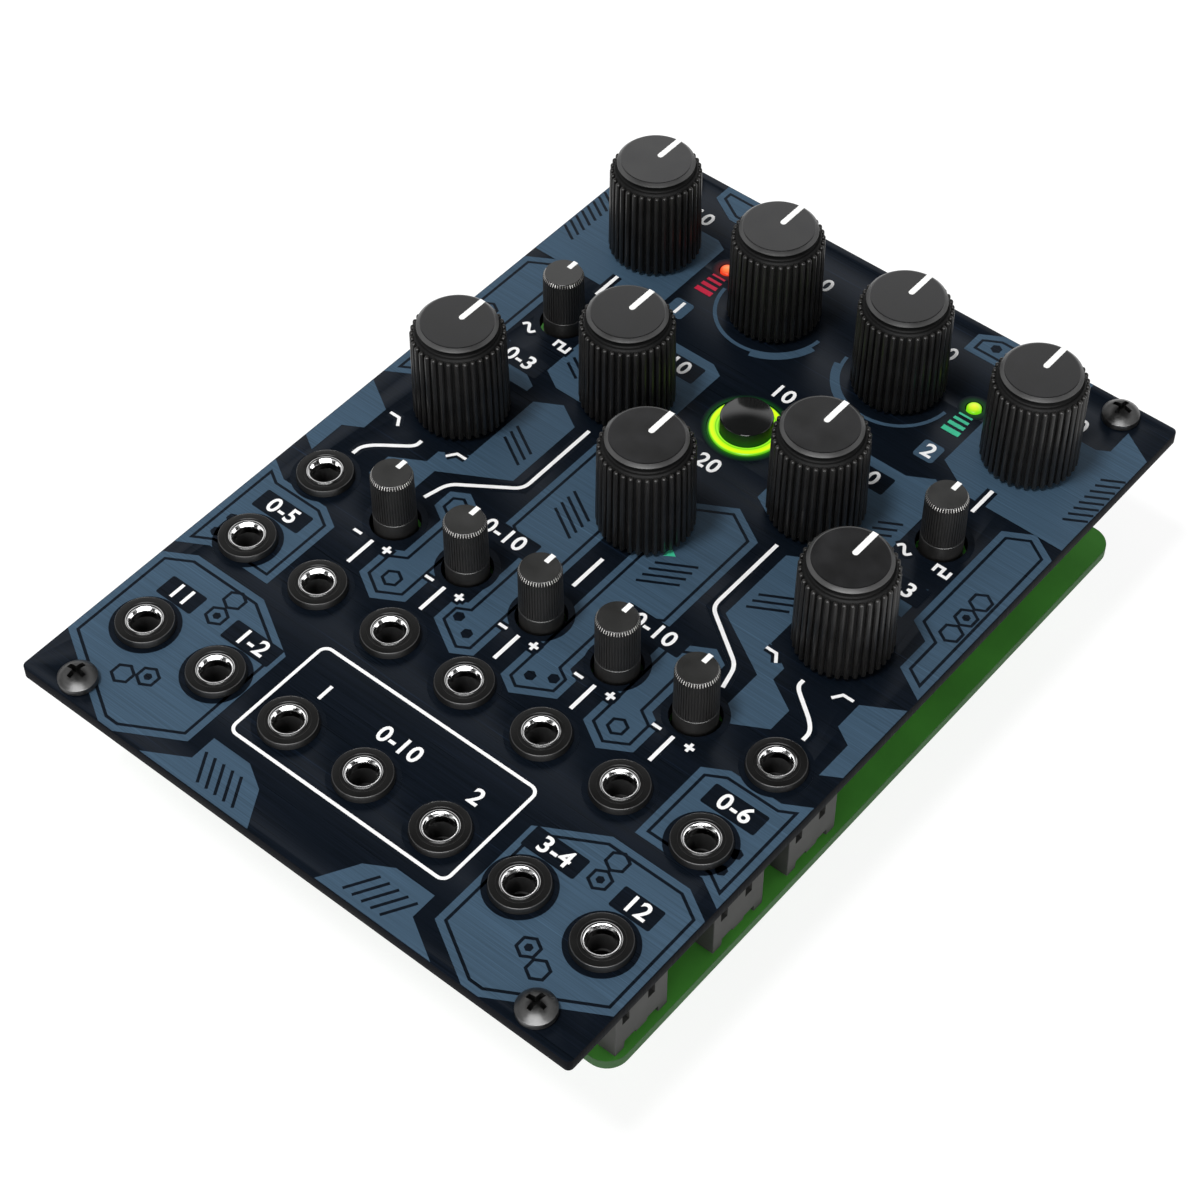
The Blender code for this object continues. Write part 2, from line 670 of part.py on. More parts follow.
def build():
    """Every piece of the module, each at its place."""
    panel_finish = material("panel_print", (0.012, 0.02, 0.032), 0.42, 0.3)
    board_finish = material("board_green", (0.045, 0.24, 0.025), 0.45)
    knob_finish = material("knob_black", (0.02, 0.02, 0.021), 0.5)
    pot_finish = material("pot_blue", (0.05, 0.09, 0.17), 0.4)
    jack_finish = material("jack_black", (0.018, 0.018, 0.018), 0.45)
    cap_finish = material("cap_black", (0.015, 0.015, 0.016), 0.15)
    ring_finish = material("ring_lime", (0.3, 1.0, 0.0), 0.3)
    red_finish = material("lens_red", (0.9, 0.12, 0.05), 0.2)
    green_finish = material("lens_green", (0.35, 0.9, 0.03), 0.2)
    screw_finish = material("screw_black", (0.03, 0.03, 0.03), 0.35, 0.8)
    header_finish = material("header_black", (0.015, 0.015, 0.015), 0.5)

    place("front_panel", front_panel(), panel_finish)
    place("circuit_board", circuit_board(), board_finish)
    place("power_header", power_header(), header_finish)
    repeated = (
        ("large_knob", LARGE_KNOBS, large_knob(), knob_finish),
        ("large_pot", LARGE_KNOBS, large_pot(), pot_finish),
        ("small_knob", SMALL_KNOBS, small_knob(), knob_finish),
        ("small_pot", SMALL_KNOBS, small_pot(), pot_finish),
        ("jack", JACKS, jack_socket(), jack_finish),
        ("screw", SCREWS, mounting_screw(), screw_finish),
    )
    for kind, places, data, finish in repeated:
        for name, position in places.items():
            place(f"{kind}_{name}", data, finish, position)
    place("button_cap", button_cap(), cap_finish, BUTTON)
    place("light_ring", light_ring(), ring_finish, BUTTON)
    place("switch_body", switch_body(), header_finish, BUTTON)
    place("lamp_red", lamp(), red_finish, LAMPS["lamp_red"])
    place("lamp_green", lamp(), green_finish, LAMPS["lamp_green"])


for leftover in list(bpy.data.objects):
    bpy.data.objects.remove(leftover)
build()
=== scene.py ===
"""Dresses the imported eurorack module: its finishes, fine shapes and print, with floor, light and camera.

Every size below is in millimetres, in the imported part's frame, and a piece becomes metres when it is finished.
"""

import json
import logging
import math
from collections.abc import Iterable, Sequence
from dataclasses import dataclass
from enum import Enum

import bmesh
import bpy
from mathutils import Matrix, Vector

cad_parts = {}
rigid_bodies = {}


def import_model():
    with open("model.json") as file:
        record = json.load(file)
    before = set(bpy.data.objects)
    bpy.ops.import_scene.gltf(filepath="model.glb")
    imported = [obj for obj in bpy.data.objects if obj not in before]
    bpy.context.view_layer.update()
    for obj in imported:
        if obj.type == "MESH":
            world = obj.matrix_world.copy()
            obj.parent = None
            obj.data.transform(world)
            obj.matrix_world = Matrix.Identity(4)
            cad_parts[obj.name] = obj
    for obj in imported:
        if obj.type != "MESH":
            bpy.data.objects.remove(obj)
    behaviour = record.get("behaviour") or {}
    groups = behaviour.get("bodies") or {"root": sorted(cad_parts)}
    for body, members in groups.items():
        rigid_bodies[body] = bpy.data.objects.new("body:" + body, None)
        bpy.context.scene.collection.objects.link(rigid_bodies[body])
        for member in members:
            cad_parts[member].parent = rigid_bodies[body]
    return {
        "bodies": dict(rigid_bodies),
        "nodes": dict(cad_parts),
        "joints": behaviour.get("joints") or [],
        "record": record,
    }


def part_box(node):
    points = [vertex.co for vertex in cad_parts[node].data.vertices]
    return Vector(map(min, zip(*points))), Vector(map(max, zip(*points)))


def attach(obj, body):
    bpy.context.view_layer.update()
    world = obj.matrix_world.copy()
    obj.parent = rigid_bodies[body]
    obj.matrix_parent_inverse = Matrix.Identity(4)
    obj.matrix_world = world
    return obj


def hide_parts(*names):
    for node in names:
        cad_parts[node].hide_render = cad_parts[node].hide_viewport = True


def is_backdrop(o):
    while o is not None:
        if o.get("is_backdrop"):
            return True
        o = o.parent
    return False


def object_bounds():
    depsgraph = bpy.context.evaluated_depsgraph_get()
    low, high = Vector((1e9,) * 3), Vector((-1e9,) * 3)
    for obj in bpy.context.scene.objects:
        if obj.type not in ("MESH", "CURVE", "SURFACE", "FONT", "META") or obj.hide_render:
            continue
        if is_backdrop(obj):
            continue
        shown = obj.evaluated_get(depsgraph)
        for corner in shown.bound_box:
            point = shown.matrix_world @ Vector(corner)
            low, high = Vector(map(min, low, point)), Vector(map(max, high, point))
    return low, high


LOG = logging.getLogger("module")
MM = 0.001
FIXED = "module"
FRONT = 2.0
# How far a lamp stands from the middle of its solid: its dome is lower than the solid, and the view is oblique.
LOW_LAMP_SHIFT = (-0.35, 0.6)

Flat = tuple[float, float]
Point = tuple[float, float, float]
Hue = tuple[int, int, int]
Socket = bpy.types.NodeSocket
Mesh = bpy.types.Mesh


# ---------------------------------------------------------------- finishes


def linear(hue: Hue) -> tuple[float, float, float, float]:
    """Turns a display colour into the linear colour that a shader takes.

    Args:
        hue: Red, green and blue, each 0 to 255.

    Returns:
        The linear colour with full alpha.
    """
    parts = [part / 255 for part in hue]
    shades = [part / 12.92 if part <= 0.04045 else ((part + 0.055) / 1.055) ** 2.4 for part in parts]
    return (shades[0], shades[1], shades[2], 1.0)


class Sheet:
    """The node sheet of a material or a world, with the steps that they share."""

    def __init__(self, owner: bpy.types.Material | bpy.types.World) -> None:
        """Opens the owner's nodes, with the surface shader where it has one.

        Args:
            owner: What the nodes belong to.
        """
        owner.use_nodes = True
        self.tree = owner.node_tree
        self.surface = self.tree.nodes.get("Principled BSDF")
        self.place = self.node("ShaderNodeTexCoord").outputs["Object"]

    def node(self, kind: str, **settings: object) -> bpy.types.Node:
        """Adds a node.

        Args:
            kind: Blender's name for the node.
            **settings: Its properties.

        Returns:
            The node.
        """
        made = self.tree.nodes.new(kind)
        for key, value in settings.items():
            setattr(made, key, value)
        return made

    def link(self, source: Socket, target: Socket) -> None:
        """Joins two sockets."""
        self.tree.links.new(source, target)

    def grain(self, scale: Point, detail: float = 2.0, shift: float = 0.0) -> Socket:
        """Noise on the object's own coordinates.

        Args:
            scale: Waves per metre along X, Y and Z.
            detail: How many finer layers it has.
            shift: Moves the pattern, so that two differ.

        Returns:
            The socket that gives 0 to 1.
        """
        mapping = self.node("ShaderNodeMapping")
        mapping.inputs["Scale"].default_value = scale
        mapping.inputs["Location"].default_value = (shift, shift * 0.7, shift * 1.3)
        self.link(self.place, mapping.inputs["Vector"])
        noise = self.node("ShaderNodeTexNoise")
        noise.inputs["Scale"].default_value = 1.0
        noise.inputs["Detail"].default_value = detail
        self.link(mapping.outputs["Vector"], noise.inputs["Vector"])
        return noise.outputs["Fac"]

    def spread(
        self, source: Socket, low: float, high: float, start: float = 0.3, end: float = 0.7, **settings: object
    ) -> Socket:
        """Stretches a value to a new range.

        Args:
            source: The value.
            low: What it is at the start.
            high: What it is at the end.
            start: The source's value that gives low.
            end: The source's value that gives high.
            **settings: Properties of the node.

        Returns:
            The new value, held within its range.
        """
        node = self.node("ShaderNodeMapRange", **settings)
        for name, value in (("From Min", start), ("From Max", end), ("To Min", low), ("To Max", high)):
            node.inputs[name].default_value = value
        self.link(source, node.inputs["Value"])
        return node.outputs["Result"]

    def blend(self, factor: Socket, first: Socket | Hue, second: Socket | Hue) -> Socket:
        """Mixes two colours.

        Args:
            factor: How much of the second shows.
            first: A colour or the socket of one.
            second: A colour or the socket of one.

        Returns:
            The mixed colour.
        """
        node = self.node("ShaderNodeMix", data_type="RGBA")
        self.link(factor, node.inputs[0])
        for index, part in ((6, first), (7, second)):
            if isinstance(part, tuple):
                node.inputs[index].default_value = linear(part)
            else:
                self.link(part, node.inputs[index])
        return node.outputs[2]

    def work_out(self, operation: str, first: Socket, second: Socket) -> Socket:
        """The result of a sum on two values.

        Args:
            operation: Blender's name for the sum.
            first: The first value.
            second: The second value.

        Returns:
            The socket of the result.
        """
        node = self.node("ShaderNodeMath", operation=operation)
        self.link(first, node.inputs[0])
        self.link(second, node.inputs[1])
        return node.outputs["Value"]

    def mottle(self, pattern: Socket, dark: Hue, light: Hue) -> None:
        """Varies the base colour between two shades by a pattern."""
        self.link(self.blend(self.spread(pattern, 0.0, 1.0), dark, light), self.surface.inputs["Base Color"])

    def polish(self, pattern: Socket, roughness: float, swing: float) -> None:
        """Varies the roughness by a pattern, by up to the swing either way."""
        rough = self.spread(pattern, max(0.02, roughness - swing), roughness + swing)
        self.link(rough, self.surface.inputs["Roughness"])

    def relief(self, height: Socket, strength: float, depth: float) -> None:
        """Raises the surface by a pattern.

        Args:
            height: The pattern.
            strength: How much of it shows.
            depth: Its height in millimetres.
        """
        node = self.node("ShaderNodeBump")
        node.inputs["Strength"].default_value = strength
        node.inputs["Distance"].default_value = depth * MM
        self.link(height, node.inputs["Height"])
        self.link(node.outputs["Normal"], self.surface.inputs["Normal"])

    def lit_round(
        self, centre: Flat, reach: float, stops: Iterable[tuple[float, Hue]]
    ) -> bpy.types.Node:
        """Gives off a colour that follows the distance from an upright axis.

        Args:
            centre: The axis's place on the panel.
            reach: The distance that is the end of the stops.
            stops: Shares of the reach and their colours, the first and the last one first.

        Returns:
            The node that holds the colours.
        """
        ramp = self.node("ShaderNodeValToRGB")
        self.link(self.radius_from(centre, reach), ramp.inputs["Fac"])
        points = ramp.color_ramp.elements
        for index, (place, hue) in enumerate(stops):
            point = points[index] if index < 2 else points.new(place)
            point.position, point.color = place, linear(hue)
        self.link(ramp.outputs["Color"], self.surface.inputs["Emission Color"])
        return ramp

    def radius_from(self, centre: Flat, reach: float) -> Socket:
        """Distance from an upright axis.

        Args:
            centre: The axis's place on the panel.
            reach: The distance that gives 1.

        Returns:
            The distance as a share of the reach.
        """
        shift = self.node("ShaderNodeVectorMath", operation="SUBTRACT")
        shift.inputs[1].default_value = (centre[0] * MM, centre[1] * MM, 0.0)
        self.link(self.place, shift.inputs[0])
        flat = self.node("ShaderNodeVectorMath", operation="MULTIPLY")
        flat.inputs[1].default_value = (1.0, 1.0, 0.0)
        self.link(shift.outputs["Vector"], flat.inputs[0])
        length = self.node("ShaderNodeVectorMath", operation="LENGTH")
        self.link(flat.outputs["Vector"], length.inputs[0])
        return self.spread(length.outputs["Value"], 0.0, 1.0, 0.0, reach * MM)


@dataclass(frozen=True)
class Finish:
    """What every finish has: a name, a display colour and a gloss."""

    name: str
    hue: Hue
    roughness: float = 0.5
    metallic: float = 0.0
    specular: float = 0.5

    def material(self) -> bpy.types.Material:
        """The finish's material, which is made once.

        Returns:
            The same material each time.
        """
        found = bpy.data.materials.get(self.name)
        if found is not None:
            return found
        made = bpy.data.materials.new(self.name)
        sheet = Sheet(made)
        made.diffuse_color = linear(self.hue)
        sheet.surface.inputs["Base Color"].default_value = linear(self.hue)
        sheet.surface.inputs["Roughness"].default_value = self.roughness
        sheet.surface.inputs["Metallic"].default_value = self.metallic
        sheet.surface.inputs["Specular IOR Level"].default_value = self.specular
        self.dress(sheet)
        return made

    def dress(self, sheet: Sheet) -> None:
        """Adds the finish's own pattern."""
        raise NotImplementedError(self.name)

    def shade(self, factor: float) -> Hue:
        """The colour made darker or lighter."""
        parts = [max(0, min(255, round(part * factor))) for part in self.hue]
        return (parts[0], parts[1], parts[2])


@dataclass(frozen=True)
class BrushedPrint(Finish):
    """Ink on brushed metal: fine streaks across the panel, with a few light ones."""

    streak: float = 0.2
    light: float = 1.5

    def dress(self, sheet: Sheet) -> None:
        """Lays long thin streaks in the colour, the gloss and the relief.

        Args:
            sheet: The material's nodes.
        """
        fine = sheet.grain((55.0, 7500.0, 55.0), 3.0)
        long = sheet.grain((22.0, 3300.0, 22.0), 2.0, 5.0)
        base = sheet.blend(
            sheet.spread(fine, 0.0, 1.0), self.shade(1 - self.streak), self.shade(1 + self.streak)
        )
        thin = sheet.spread(long, 0.0, 1.0, 0.69, 0.74)
        sheet.link(sheet.blend(thin, base, self.shade(self.light)), sheet.surface.inputs["Base Color"])
        sheet.polish(fine, self.roughness, 0.07)
        sheet.relief(fine, 0.12, 0.01)


@dataclass(frozen=True)
class Ink(Finish):
    """Opaque screen print with a faint unevenness."""

    def dress(self, sheet: Sheet) -> None:
        """Varies the ink a little over a millimetre or so.

        Args:
            sheet: The material's nodes.
        """
        cloud = sheet.grain((900.0, 900.0, 900.0), 2.0, 3.0)
        sheet.mottle(cloud, self.shade(0.96), self.hue)
        sheet.relief(cloud, 0.1, 0.004)


@dataclass(frozen=True)
class MouldedPlastic(Finish):
    """Moulded plastic with a fine spark-eroded grain."""

    grain_size: float = 0.12
    depth: float = 0.01

    def dress(self, sheet: Sheet) -> None:
        """Lays the grain, and clouds of slightly different gloss.

        Args:
            sheet: The material's nodes.
        """
        rate = 1.0 / (self.grain_size * MM)
        grain = sheet.grain((rate, rate, rate), 2.0)
        cloud = sheet.grain((260.0, 260.0, 260.0), 3.0, 7.0)
        sheet.mottle(cloud, self.shade(0.93), self.shade(1.07))
        sheet.polish(cloud, self.roughness, 0.05)
        sheet.relief(grain, 0.25, self.depth)


@dataclass(frozen=True)
class BrightMetal(Finish):
    """Plated or tinned metal with fine smears."""

    smear: float = 0.06

    def dress(self, sheet: Sheet) -> None:
        """Lays fine smears in the gloss and the colour.

        Args:
            sheet: The material's nodes.
        """
        smear = sheet.grain((1400.0, 1400.0, 3800.0), 3.0)
        sheet.polish(smear, self.roughness, self.smear)
        sheet.mottle(smear, self.shade(0.94), self.shade(1.03))
        sheet.relief(smear, 0.05, 0.01)


@dataclass(frozen=True)
class LitEpoxy(Finish):
    """A lit lens or light guide: bright along its middle and deeper at its rim."""

    centre: Flat = (0.0, 0.0)
    reach: float = 1.0
    stops: tuple[tuple[float, Hue], ...] = ()
    glow: float = 1.0

    def dress(self, sheet: Sheet) -> None:
        """Gives off a colour that follows the distance from the axis.

        Args:
            sheet: The material's nodes.
        """
        sheet.lit_round(self.centre, self.reach, self.stops)
        sheet.surface.inputs["Base Color"].default_value = linear(self.shade(0.15))
        onto_others = sheet.node("ShaderNodeLightPath").outputs["Is Diffuse Ray"]
        strength = sheet.spread(onto_others, 1.0, self.glow, 0.0, 1.0)
        sheet.link(strength, sheet.surface.inputs["Emission Strength"])
        sheet.relief(sheet.grain((700.0, 700.0, 700.0)), 0.05, 0.01)


@dataclass(frozen=True)
class GlowPaintedPrint(BrushedPrint):
    """Dark print with a painted glow of a lamp beside it: brightest at the lamp and gone at the reach."""

    centre: Flat = (0.0, 0.0)
    start: float = 0.0
    reach: float = 1.0
    painted_spill_hue: Hue = (0, 80, 0)

    def dress(self, sheet: Sheet) -> None:
        """Adds the lamp's painted glow, which fades with the distance from its axis.

        Args:
            sheet: The material's nodes.
        """
        super().dress(sheet)
        stops = ((self.start / self.reach, self.painted_spill_hue), (1.0, (0, 0, 0)))
        sheet.lit_round(self.centre, self.reach, stops).color_ramp.interpolation = "EASE"
        sheet.surface.inputs["Emission Strength"].default_value = 1.0


@dataclass(frozen=True)
class SolderMask(Finish):
    """Lacquer on a glass-fibre board, with the weave just showing."""

    def dress(self, sheet: Sheet) -> None:
        """Lays a faint weave and clouds of thicker lacquer.

        Args:
            sheet: The material's nodes.
        """
        cloud = sheet.grain((120.0, 120.0, 120.0), 3.0)
        weave = sheet.node("ShaderNodeTexWave", bands_direction="DIAGONAL")
        weave.inputs["Scale"].default_value = 420.0
        weave.inputs["Distortion"].default_value = 0.6
        sheet.link(sheet.place, weave.inputs["Vector"])
        sheet.mottle(cloud, self.shade(0.95), self.shade(1.05))
        sheet.relief(weave.outputs["Fac"], 0.06, 0.02)


NAVY = BrushedPrint("panel_navy_print", (17, 25, 35), 0.34, 0.5, 0.25, streak=0.22, light=1.7)
SLATE = BrushedPrint("panel_slate_print", (60, 82, 101), 0.5, 0.1, 0.2, streak=0.1, light=1.18)
ANODISED = BrushedPrint("panel_dark_anodised", (11, 13, 18), 0.6, 0.0, 0.03, streak=0.1, light=1.3)
WHITE_INK = Ink("print_white", (250, 250, 250), 0.55)
CRIMSON_INK = Ink("print_crimson", (196, 26, 62), 0.5)
TEAL_INK = Ink("print_teal", (62, 196, 152), 0.5)
# The ribs are a lighter copy of the skirt's black plastic: painted light on the ribs, so that the grooves between them
# read as shaded.
RIB_PLASTIC_LIT = MouldedPlastic("knob_rib_black", (38, 37, 36), 0.33, 0.0, 0.3, depth=0.001)
SKIRT_PLASTIC = MouldedPlastic("knob_skirt_black", (22, 22, 22), 0.5, 0.0, 0.08, depth=0.002)
FACE_PLASTIC = MouldedPlastic("knob_face_satin", (21, 21, 22), 0.17, 0.0, 1.0, grain_size=0.2, depth=0.0006)
# The shoulder's bevel is lighter grey than the face of the same plastic: a painted sheen, on top of its real gloss.
SHOULDER_PLASTIC_SHEEN = MouldedPlastic("knob_shoulder_gloss", (50, 50, 50), 0.34, 0.0, 0.7, depth=0.0006)
TRIM_PLASTIC = MouldedPlastic("small_knob_black", (29, 28, 27), 0.5, 0.0, 0.36)
# Lighter grey on the collar's top chamfer: a painted highlight line, with the chamfer's real gloss.
COLLAR_EDGE_HIGHLIGHT = MouldedPlastic("small_knob_edge", (60, 60, 60), 0.35, 0.0, 0.35, depth=0.001)
# Bright metal on the black plastic tooth slopes: a painted highlight, on top of their real gloss.
TOOTH_GLINT_METAL = BrightMetal("small_knob_tooth_tip", (200, 198, 195), 0.28, 0.6, 1.0, smear=0.01)
TRIM_FACE = MouldedPlastic("small_knob_face", (42, 42, 41), 0.17, 0.0, 1.0, grain_size=0.2, depth=0.0006)
POINTER_PAINT = Ink("pointer_white", (252, 252, 250), 0.5)
NUT_BLACK = MouldedPlastic("jack_nut_black", (17, 17, 17), 0.34, 0.0, 0.36, depth=0.003)
# Lighter grey on the nut's top edge: a painted highlight line, with the edge's real gloss.
NUT_EDGE_HIGHLIGHT = MouldedPlastic("jack_nut_edge", (40, 40, 40), 0.3, 0.0, 0.8, depth=0.001)
RIM_PLATE = BrightMetal("jack_rim_nickel", (224, 224, 224), 0.1, 1.0, smear=0.04)
BORE_BLACK = MouldedPlastic("jack_bore_black", (60, 60, 60), 0.5, 0.0, 0.3)
HOUSING_PLASTIC = MouldedPlastic("jack_housing_grey", (48, 48, 46), 0.6, 0.0, 0.3, grain_size=0.25)
CAP_PLASTIC = MouldedPlastic("button_cap_gloss", (22, 23, 23), 0.13, 0.0, 1.0, depth=0.0002)
# The cap's black side is painted dark green: a painted reflection of the lit ring round it.
CAP_SIDE_RING_GLOW = MouldedPlastic("button_side_satin", (14, 50, 20), 0.6, 0.0, 0.1)
SWITCH_PLASTIC = MouldedPlastic("switch_black", (24, 24, 25), 0.5)
SCREW_STEEL = BrightMetal("screw_black_nickel", (84, 84, 84), 0.36, 1.0)
# Near-black on the cross recess's walls: painted shade in the recess of the same steel.
RECESS_PAINTED_SHADE = BrightMetal("screw_recess_dark", (7, 7, 7), 0.7, 0.0, 0.1)
CAN_STEEL = BrightMetal("pot_can_steel", (112, 114, 118), 0.38, 0.9)
PHENOLIC = MouldedPlastic("pot_base_brown", (66, 48, 34), 0.6, 0.0, 0.3)
TINNED = BrightMetal("tinned_lead", (190, 190, 186), 0.3, 1.0)
MASK_GREEN = SolderMask("board_mask_green", (78, 164, 56), 0.5, 0.0, 0.35)
TRACK_GREEN = SolderMask("board_track_green", (86, 158, 66), 0.42, 0.0, 0.4)
BOARD_EDGE = SolderMask("board_edge", (58, 98, 54), 0.7, 0.0, 0.2)
HEADER_PLASTIC = MouldedPlastic("header_black", (26, 26, 27), 0.5, 0.0, 0.4)
PIN_PLATE = BrightMetal("header_pin_gold", (214, 176, 96), 0.25, 1.0)
CHIP_PLASTIC = MouldedPlastic("chip_black", (34, 34, 35), 0.6, 0.0, 0.3)
CERAMIC = MouldedPlastic("capacitor_tan", (150, 116, 84), 0.55, 0.0, 0.3)


# ---------------------------------------------------------------- shapes

Step = tuple[float, float, Finish]


def coated(finish: Finish, *points: Flat) -> list[Step]:
    """Points of a profile, each with the finish of the step that follows it."""
    return [(radius, height, finish) for radius, height in points]


def arc(centre: Flat, radius: float, start: float, end: float, steps: int) -> list[Flat]:
    """Points along an arc.

    Args:
        centre: Its middle.
        radius: Its radius.
        start: Where it starts, in degrees.
        end: Where it ends, in degrees.
        steps: How many pieces it has.

    Returns:
        One more point than it has pieces.
    """
    angles = [math.radians(start + (end - start) * step / steps) for step in range(steps + 1)]
    return [(centre[0] + radius * math.cos(a), centre[1] + radius * math.sin(a)) for a in angles]


def disc(centre: Flat, radius: float, sides: int = 56) -> list[Flat]:
    """The outline of a round shape."""
    return arc(centre, radius, 0.0, 360.0, sides)[:-1]


def rounded_box(low: Flat, high: Flat, radius: float, steps: int = 6) -> list[Flat]:
    """The outline of a rectangle with round corners.

    Args:
        low: Its corner with the least X and Y.
        high: The opposite corner.
        radius: The radius of its corners.
        steps: How many pieces each corner has.

    Returns:
        Its points, anticlockwise.
    """
    (left, foot), (right, head) = low, high
    outline: list[Flat] = []
    for x, y, start in ((right, head, 0), (left, head, 90), (left, foot, 180), (right, foot, 270)):
        centre = (
            x - math.copysign(radius, x - (left + right) / 2),
            y - math.copysign(radius, y - (foot + head) / 2),
        )
        outline += arc(centre, radius, start, start + 90, steps)
    return outline


def eased(path: Sequence[Flat], radius: float, steps: int = 5) -> list[Flat]:
    """Rounds the corners of a path.

    Args:
        path: Its points.
        radius: How far from a corner the curve starts, at most.
        steps: How many pieces each curve has.

    Returns:
        The points of the rounded path.
    """
    points = [path[0]]
    for before, here, after in zip(path, path[1:], path[2:]):
        corner = Vector(here)
        start, end = (
            corner + side.normalized() * min(radius, side.length * 0.48)
            for side in (Vector(before) - corner, Vector(after) - corner)
        )
        for t in (step / steps for step in range(steps + 1)):
            spot = start * (1 - t) ** 2 + corner * 2 * t * (1 - t) + end * t**2
            points.append((spot.x, spot.y))
    return [*points, path[-1]]


def hexagon(centre: Flat, radius: float) -> list[Flat]:
    """The outline of a hexagon that stands on a corner."""
    return arc(centre, radius, 30, 390, 6)[:-1]


def mirrored(path: Iterable[Flat]) -> list[Flat]:
    """A path on the panel's other half."""
    return [(-x, y) for x, y in path]


def doubled_area(path: Sequence[Flat]) -> float:
    """Twice the area inside a path, which is negative where the path runs clockwise."""
    return sum(a[0] * b[1] - b[0] * a[1] for a, b in zip(path, [*path[1:], path[0]]))


def inside(path: Sequence[Flat], distance: float) -> list[Flat]:
    """A closed path that runs inside another.

    Args:
        path: The outer path.
        distance: How far inside it the new one runs.

    Returns:
        As many points as the outer path has.
    """
    turn = math.copysign(1.0, doubled_area(path))
    points: list[Flat] = []
    for index, here in enumerate(path):
        spot = Vector(here)
        into = (spot - Vector(path[index - 1])).normalized()
        out = (Vector(path[(index + 1) % len(path)]) - spot).normalized()
        first, second = Vector((-into.y, into.x)) * turn, Vector((-out.y, out.x)) * turn
        spot += (first + second) / (1.0 + first.dot(second)) * distance
        points.append((spot.x, spot.y))
    return points


def placed(name: str, data: bpy.types.ID) -> bpy.types.Object:
    """An object with this data, in the scene.

    Args:
        name: The object's name.
        data: What it shows.

    Returns:
        The object.
    """
    made = bpy.data.objects.new(name, data)
    bpy.context.scene.collection.objects.link(made)
    return made


def taken(holder: bpy.types.Object) -> Mesh:
    """The plain mesh that an object's curve or modifiers give.

    Args:
        holder: The object, which is used up with its data.

    Returns:
        The mesh.
    """
    graph = bpy.context.evaluated_depsgraph_get()
    made = bpy.data.meshes.new_from_object(holder.evaluated_get(graph))
    bpy.data.batch_remove([holder, holder.data])
    return made


def welded(data: Mesh, distance: float, *finishes: Finish) -> Mesh:
    """Closes a curve's mesh and finishes it.

    Args:
        data: The mesh.
        distance: How near two points are that become one.
        *finishes: Its finishes.

    Returns:
        The same mesh, with its faces outward.
    """
    shell = bmesh.new()
    shell.from_mesh(data)
    bmesh.ops.remove_doubles(shell, verts=shell.verts[:], dist=distance)
    bmesh.ops.recalc_face_normals(shell, faces=shell.faces[:])
    shell.to_mesh(data)
    shell.free()
    data.materials.clear()
    for finish in finishes:
        data.materials.append(finish.material())
    return data


